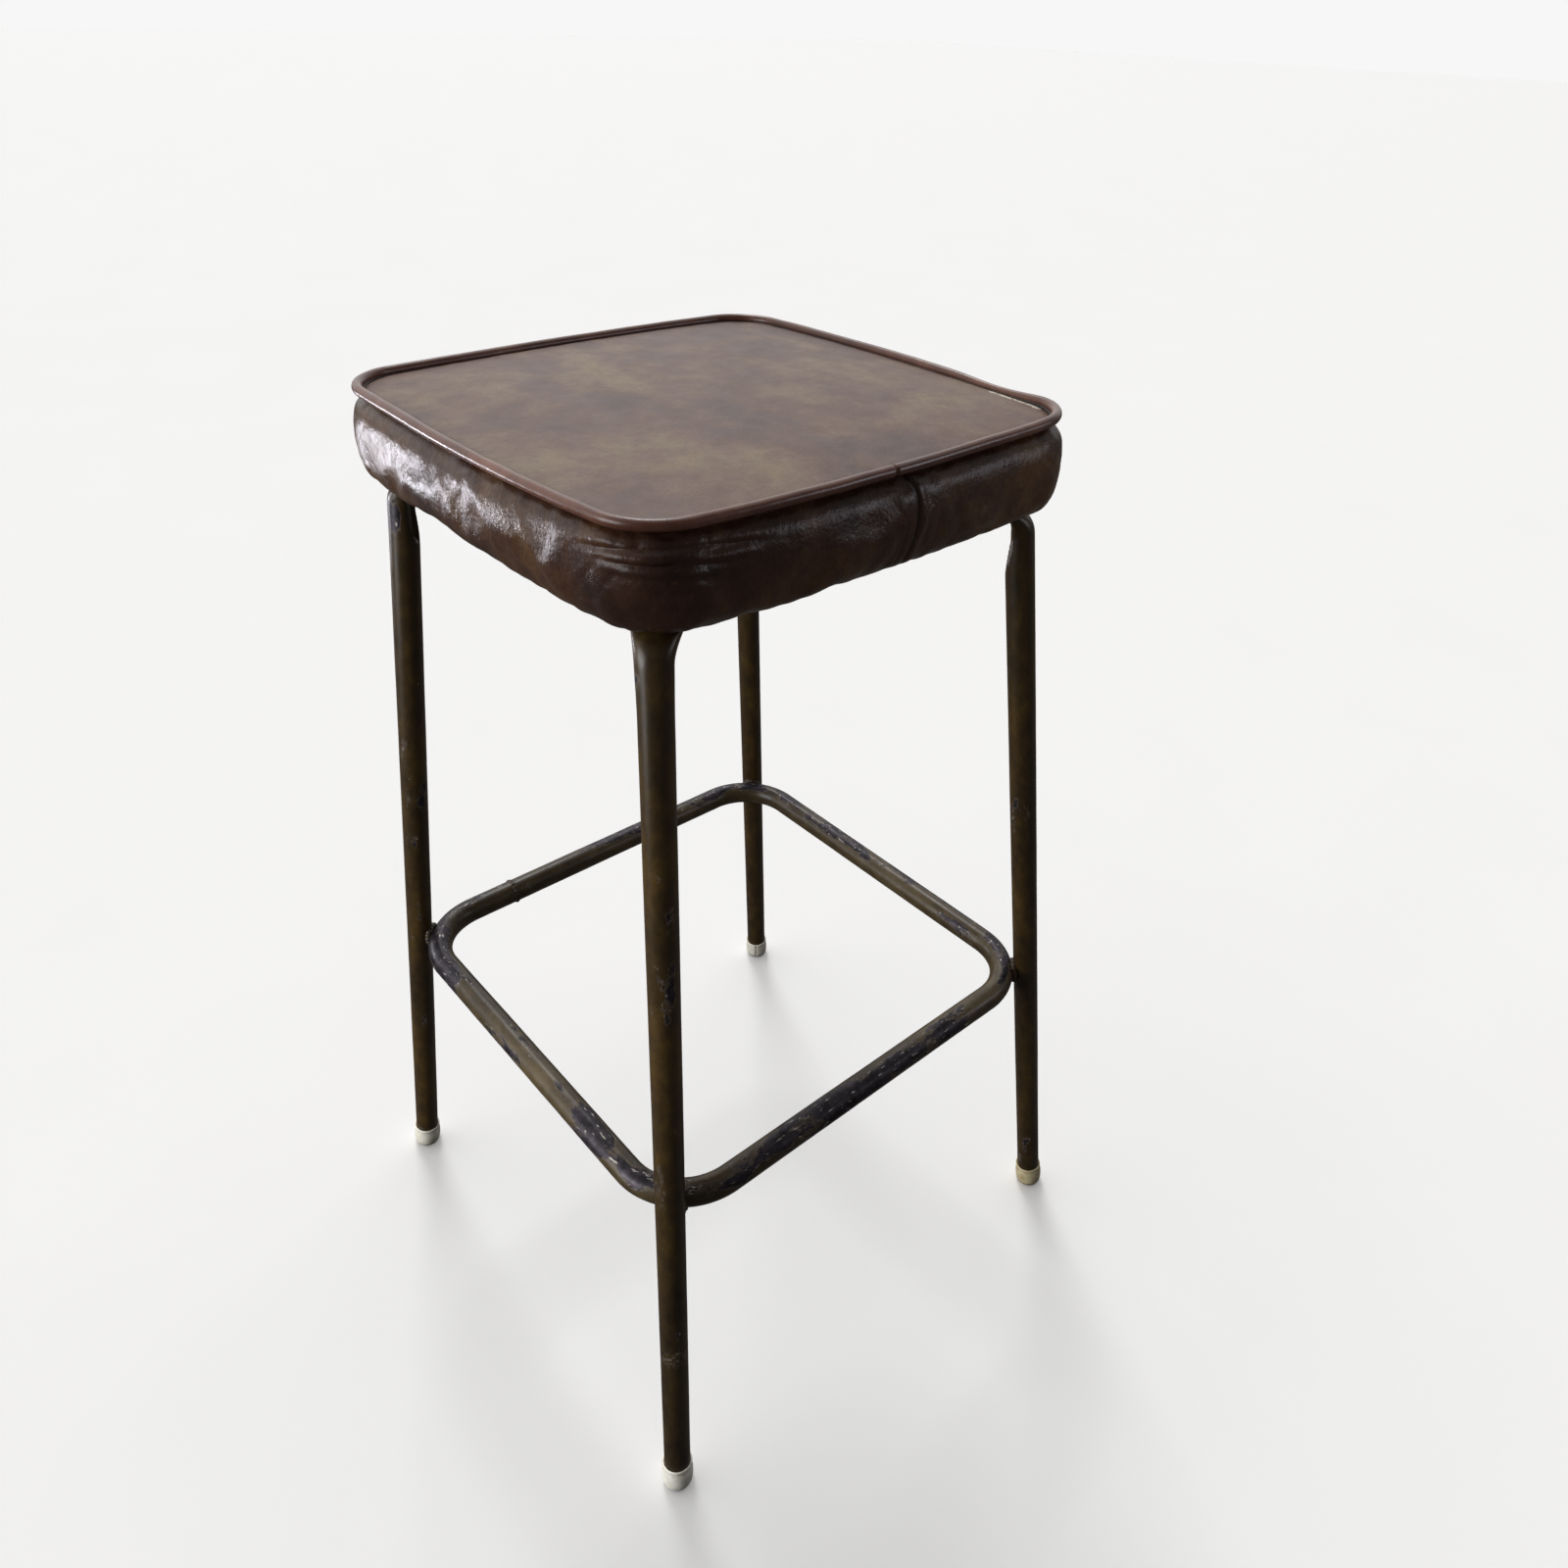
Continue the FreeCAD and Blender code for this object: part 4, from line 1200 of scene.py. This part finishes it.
def cap_plastic():
    f = Finish("cap_plastic", specular=0.45)
    fresh = f.ramp(f.noise(9, 5, 0.6), (0.35, srgb(196, 190, 176)), (0.6, srgb(222, 218, 208)))
    aged = f.ramp(f.noise(7, 5, 0.65), (0.35, srgb(150, 128, 84)), (0.62, srgb(188, 172, 132)))
    colour = f.mix(f.attribute("yellow"), fresh, aged)
    grime = f.times(f.attribute("dirt"), f.step(f.noise(3.5, 6, 0.7), 0.32, 0.6))
    colour = f.mix(grime, colour, srgb(52, 44, 36))
    f.set("Base Color", colour)
    f.set("Roughness", f.scaled(f.noise(5, 4), 0.38, 0.6))
    f.set("Subsurface Weight", 0.06)
    f.bump(f.noise(1.4, 4, 0.6), 0.05)
    f.bump(f.noise(0.9, 2, at=f.stretched(0.15, 0.15, 1)), 0.04)
    return f.material


def plywood():
    f = Finish("plywood", roughness=0.7, specular=0.3)
    fibre = f.noise(14, 6, 0.6, at=f.stretched(0.12, 1.0, 1.0), twist=1.2)
    face = f.ramp(fibre, (0.35, srgb(150, 112, 72)), (0.6, srgb(196, 160, 112)))
    plies = f.add("TexWave", Vector=f.place, Scale=1000 / 4.8 / 6.28, Distortion=0.3)
    plies.bands_direction = "Z"
    f.set("Base Color", f.tinted(face, plies.outputs["Fac"], 0.35, srgb(96, 66, 40)))
    f.bump(fibre, 0.15)
    return f.material


def metal(name, dark, light, roughness, grain):
    """Dull plated steel with spots of tarnish."""
    f = Finish(name, metallic=0.85)
    f.set("Base Color", f.ramp(f.noise(4, 6, 0.65), (0.35, dark), (0.6, light)))
    f.set("Roughness", f.scaled(f.noise(2.5, 5, 0.6), roughness - 0.1, roughness + 0.15))
    f.bump(f.noise(grain, 3), 0.03)
    return f.material


def foam():
    f = Finish("foam", roughness=0.95, specular=0.1)
    pores = f.cells(1.3, feature="F1")
    colour = f.ramp(f.noise(20, 4), (0.35, srgb(176, 140, 70)), (0.65, srgb(206, 178, 108)))
    # Painted shade: the pores are coloured darker, as shade inside the foam's cells.
    f.set("Base Color", f.mix(f.step(pores, 0.25, 0.7), srgb(130, 98, 46), colour))
    f.bump(pores, 0.5)
    return f.material


def fibre():
    f = Finish("cord_fibre", roughness=0.9, specular=0.15)
    twist = f.noise(1.1, 4, 0.6, at=f.stretched(1, 1, 2.4))
    f.set("Base Color", f.ramp(twist, (0.35, srgb(168, 158, 140)), (0.62, srgb(220, 212, 196))))
    f.bump(twist, 0.25)
    return f.material


def floor_finish():
    """Pale paper. It shows pale to the camera, with a faint glow, and throws little light back."""
    f = Finish("studio_floor", roughness=0.85, specular=0.1)
    paper = f.ramp(f.noise(300, 2), (0.3, srgb(240, 240, 240)), (0.7, srgb(242, 242, 242)))
    f.set("Base Color", paper)
    f.set("Emission Color", srgb(255, 255, 255))
    f.set("Emission Strength", PAPER_GLOW)
    dim = f.add("BsdfDiffuse", Color=srgb(100, 98, 96))
    seen = f.add("LightPath")
    either = f.add("MixShader")
    f.put(either.inputs[0], seen.outputs["Is Camera Ray"])
    f.put(either.inputs[1], dim.outputs["BSDF"])
    f.put(either.inputs[2], f.shader.outputs["BSDF"])
    f.put(f.nodes["Material Output"].inputs["Surface"], either.outputs["Shader"])
    return f.material


# ---------------------------------------------------------------- assembly
def show_cad_node(node, material):
    """A CAD node that keeps its shape gets a detailed finish."""
    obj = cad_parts[node]
    obj.data.materials.clear()
    obj.data.materials.append(material)


vinyl_top = vinyl("vinyl_top", srgb(62, 37, 29), srgb(91, 60, 45), srgb(112, 91, 62),
                  roughness=0.46, grain_mm=1.6, grain_depth=0.12, specular=0.36, crinkle=0.16)
# Painted shade: the side band uses the top's vinyl with darker base colours, for the sides' shade.
vinyl_side = vinyl("vinyl_side", srgb(38, 22, 16), srgb(62, 38, 27), srgb(90, 63, 36),
                   roughness=0.29, grain_mm=2.4, grain_depth=0.16, specular=0.28, crinkle=0.42)
vinyl_piping = vinyl("vinyl_piping", srgb(66, 36, 27), srgb(92, 56, 43), srgb(116, 77, 60),
                     roughness=0.3, grain_mm=1.2, grain_depth=0.04, specular=0.5)
frame_paint = worn_paint("frame_paint", srgb(28, 20, 11), srgb(50, 37, 17), srgb(72, 54, 22),
                         bare_amount=0.2, patch_mm=13)
footrest_paint = worn_paint("footrest_paint", srgb(32, 25, 17), srgb(56, 46, 29), srgb(80, 68, 46),
                            bare_amount=0.19, patch_mm=17)
weld_paint = worn_paint("weld_paint", srgb(24, 17, 11), srgb(42, 32, 19), srgb(64, 50, 30),
                        bare_amount=0.18, patch_mm=9)
plastic = cap_plastic()
zinc = metal("zinc_steel", srgb(70, 66, 60), srgb(150, 150, 150), roughness=0.42, grain=1.2)
wire = metal("staple_wire", srgb(80, 70, 60), srgb(160, 158, 154), roughness=0.36, grain=0.8)

finish_piece(build_band(), vinyl_side, ["cover_side_band"])
finish_piece(build_top_panel(), vinyl_top, ["cover_top_panel"])
finish_piece(build_foam(), foam(), ["seat_foam"])
finish_piece(build_piping("piping_visual", PIPING_R, 24), vinyl_piping, ["piping"])
finish_piece(build_piping("piping_cord_visual", CORD_R, 14), fibre(), ["piping_cord"])
for corner, angle in CORNERS.items():
    finish_piece(build_leg(corner, angle), frame_paint, [f"leg_{corner}"])
    finish_piece(build_ring_weld(corner, angle), weld_paint, [f"ring_weld_{corner}"])
    finish_piece(build_foot_cap(corner, angle), plastic, [f"foot_cap_{corner}"])
finish_piece(build_ring(), footrest_paint, ["footrest_ring"])
finish_piece(build_butt_weld(), weld_paint, ["ring_butt_weld"])
finish_piece(at_bolts("leg_bolts_visual", bolt), zinc, ["leg_bolts"])
finish_piece(at_bolts("leg_bolt_washers_visual", washer), zinc, ["leg_bolt_washers"])
finish_piece(build_staples(), wire, ["hem_staples"])
show_cad_node("seat_board", plywood())
show_cad_node("tee_nuts", zinc)


# ---------------------------------------------------------------- studio
# Direction of the room's bright side, and how its strength rises towards that side:
# from and to these cosines, between these strengths.
ROOM_BRIGHT_SIDE = (-0.85, 0.22, 0.38)
ROOM_LEVELS = (-0.2, 0.97, 0.1, 1.25)
SUN_FROM = (-0.535, 0.265, 0.807)
SUN_STRENGTH = 0.97
SUN_SPREAD = 16
COOL = (0.93, 0.92, 1.0)
GLINT = (0.94, 0.92, 1.0)
WHITE = (1, 1, 1)
# Lamps: place, target, width, height (m), power (W), spread (degrees), colour.
LAMPS = {
    "window_low_left": ((-1.0, -0.63, 0.45), (-0.02, -0.16, 0.69), 0.30, 0.14, 1.1, 100, COOL),
    "fill_front_left": ((-0.3, -1.8, 1.0), (0, 0, 0.5), 1.0, 1.0, 20, 180, WHITE),
    "glint_right_rear": ((1.3, 1.1, 1.0), (0.16, -0.05, 0.7), 0.6, 0.5, 1.2, 100, GLINT),
    "low_front": ((-0.35, -1.7, 0.5), (0, 0, 0.25), 0.8, 0.8, 18, 180, WHITE),
}
# Lamps that light the legs, caps and ring only. The others light the whole stool.
FRAME_LAMPS = ("low_front",)
BACKDROP = 247
FLOOR_HALF = 30.0
FLOOR_CELLS = 24
# Camera: place (m), azimuth, elevation and roll (degrees), focal length (mm) and shift.
CAMERA_AT = (0.5553, -0.4130, 0.9022)
CAMERA_AZIMUTH = 46.937
CAMERA_ELEVATION = 34.414
CAMERA_ROLL = 2.139
CAMERA_LENS = 26.16
CAMERA_SHIFT = -0.024


def gathered(name, pieces):
    """Collection of pieces, for a lamp that lights only them."""
    group = bpy.data.collections.new(name)
    for piece in pieces:
        group.objects.link(piece)
    return group


def area_light(name, place, target, width, height, power, spread, colour, lit):
    """Rectangular lamp turned to face a target. It lights only the pieces in a collection,
    which leaves the floor even."""
    data = bpy.data.lights.new(name, "AREA")
    data.shape = "RECTANGLE"
    data.size = width
    data.size_y = height
    data.energy = power
    data.color = colour
    data.spread = math.radians(spread)
    obj = bpy.data.objects.new(name, data)
    obj.location = place
    obj.rotation_euler = (Vector(target) - Vector(place)).to_track_quat("-Z", "Y").to_euler()
    bpy.context.scene.collection.objects.link(obj)
    obj.light_linking.receiver_collection = lit


def sun(direction, strength, angle):
    """Main light, from a direction, alike over the whole floor."""
    data = bpy.data.lights.new("key_sun", "SUN")
    data.energy = strength
    data.angle = math.radians(angle)
    obj = bpy.data.objects.new("key_sun", data)
    obj.rotation_euler = (-Vector(direction)).to_track_quat("-Z", "Y").to_euler()
    bpy.context.scene.collection.objects.link(obj)


def build_floor():
    t = np.linspace(-FLOOR_HALF, FLOOR_HALF, FLOOR_CELLS + 1) / MM
    gx, gy = np.meshgrid(t, t)
    points = np.column_stack([gx.ravel(), gy.ravel(), np.zeros(gx.size)])
    obj = new_mesh("studio_floor", points, grid_faces(FLOOR_CELLS + 1, FLOOR_CELLS + 1))
    obj.data.materials.append(floor_finish())
    obj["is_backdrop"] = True


def build_world():
    """Soft room light, strongest from the upper left, behind an even pale backdrop."""
    world = bpy.data.worlds.new("studio")
    world.use_nodes = True
    nodes, links = world.node_tree.nodes, world.node_tree.links
    room = nodes["Background"]
    direction = nodes.new("ShaderNodeTexCoord").outputs["Generated"]
    facing = nodes.new("ShaderNodeVectorMath")
    facing.operation = "DOT_PRODUCT"
    facing.inputs[1].default_value = Vector(ROOM_BRIGHT_SIDE).normalized()
    links.new(direction, facing.inputs[0])
    level = nodes.new("ShaderNodeMapRange")
    level.interpolation_type = "SMOOTHSTEP"
    for name, value in zip(("From Min", "From Max", "To Min", "To Max"), ROOM_LEVELS):
        level.inputs[name].default_value = value
    links.new(facing.outputs["Value"], level.inputs["Value"])
    links.new(level.outputs["Result"], room.inputs["Strength"])
    backdrop = nodes.new("ShaderNodeBackground")
    backdrop.inputs["Color"].default_value = srgb(BACKDROP, BACKDROP, BACKDROP)
    seen = nodes.new("ShaderNodeLightPath")
    either = nodes.new("ShaderNodeMixShader")
    links.new(seen.outputs["Is Camera Ray"], either.inputs[0])
    links.new(room.outputs["Background"], either.inputs[1])
    links.new(backdrop.outputs["Background"], either.inputs[2])
    links.new(either.outputs["Shader"], nodes["World Output"].inputs["Surface"])
    room.inputs["Color"].default_value = (1.0, 0.99, 0.98, 1.0)
    bpy.context.scene.world = world


def build_camera():
    data = bpy.data.cameras.new("camera")
    data.lens = CAMERA_LENS
    data.shift_x = CAMERA_SHIFT
    data.clip_end = 200
    obj = bpy.data.objects.new("camera", data)
    turn = Matrix.Rotation(math.radians(CAMERA_AZIMUTH), 4, "Z")
    turn = turn @ Matrix.Rotation(math.radians(90 - CAMERA_ELEVATION), 4, "X")
    turn = turn @ Matrix.Rotation(math.radians(CAMERA_ROLL), 4, "Z")
    obj.matrix_world = Matrix.Translation(CAMERA_AT) @ turn
    bpy.context.scene.collection.objects.link(obj)
    bpy.context.scene.camera = obj


build_floor()
build_world()
whole = gathered("whole_stool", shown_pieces())
frame_pieces = [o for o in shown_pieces() if o.name.startswith(("leg_", "foot", "ring_"))]
frame_only = gathered("frame_only", frame_pieces)
sun(SUN_FROM, SUN_STRENGTH, SUN_SPREAD)
for name, values in LAMPS.items():
    area_light(name, *values, frame_only if name in FRAME_LAMPS else whole)
build_camera()
scene = bpy.context.scene
scene.view_settings.view_transform = "Standard"
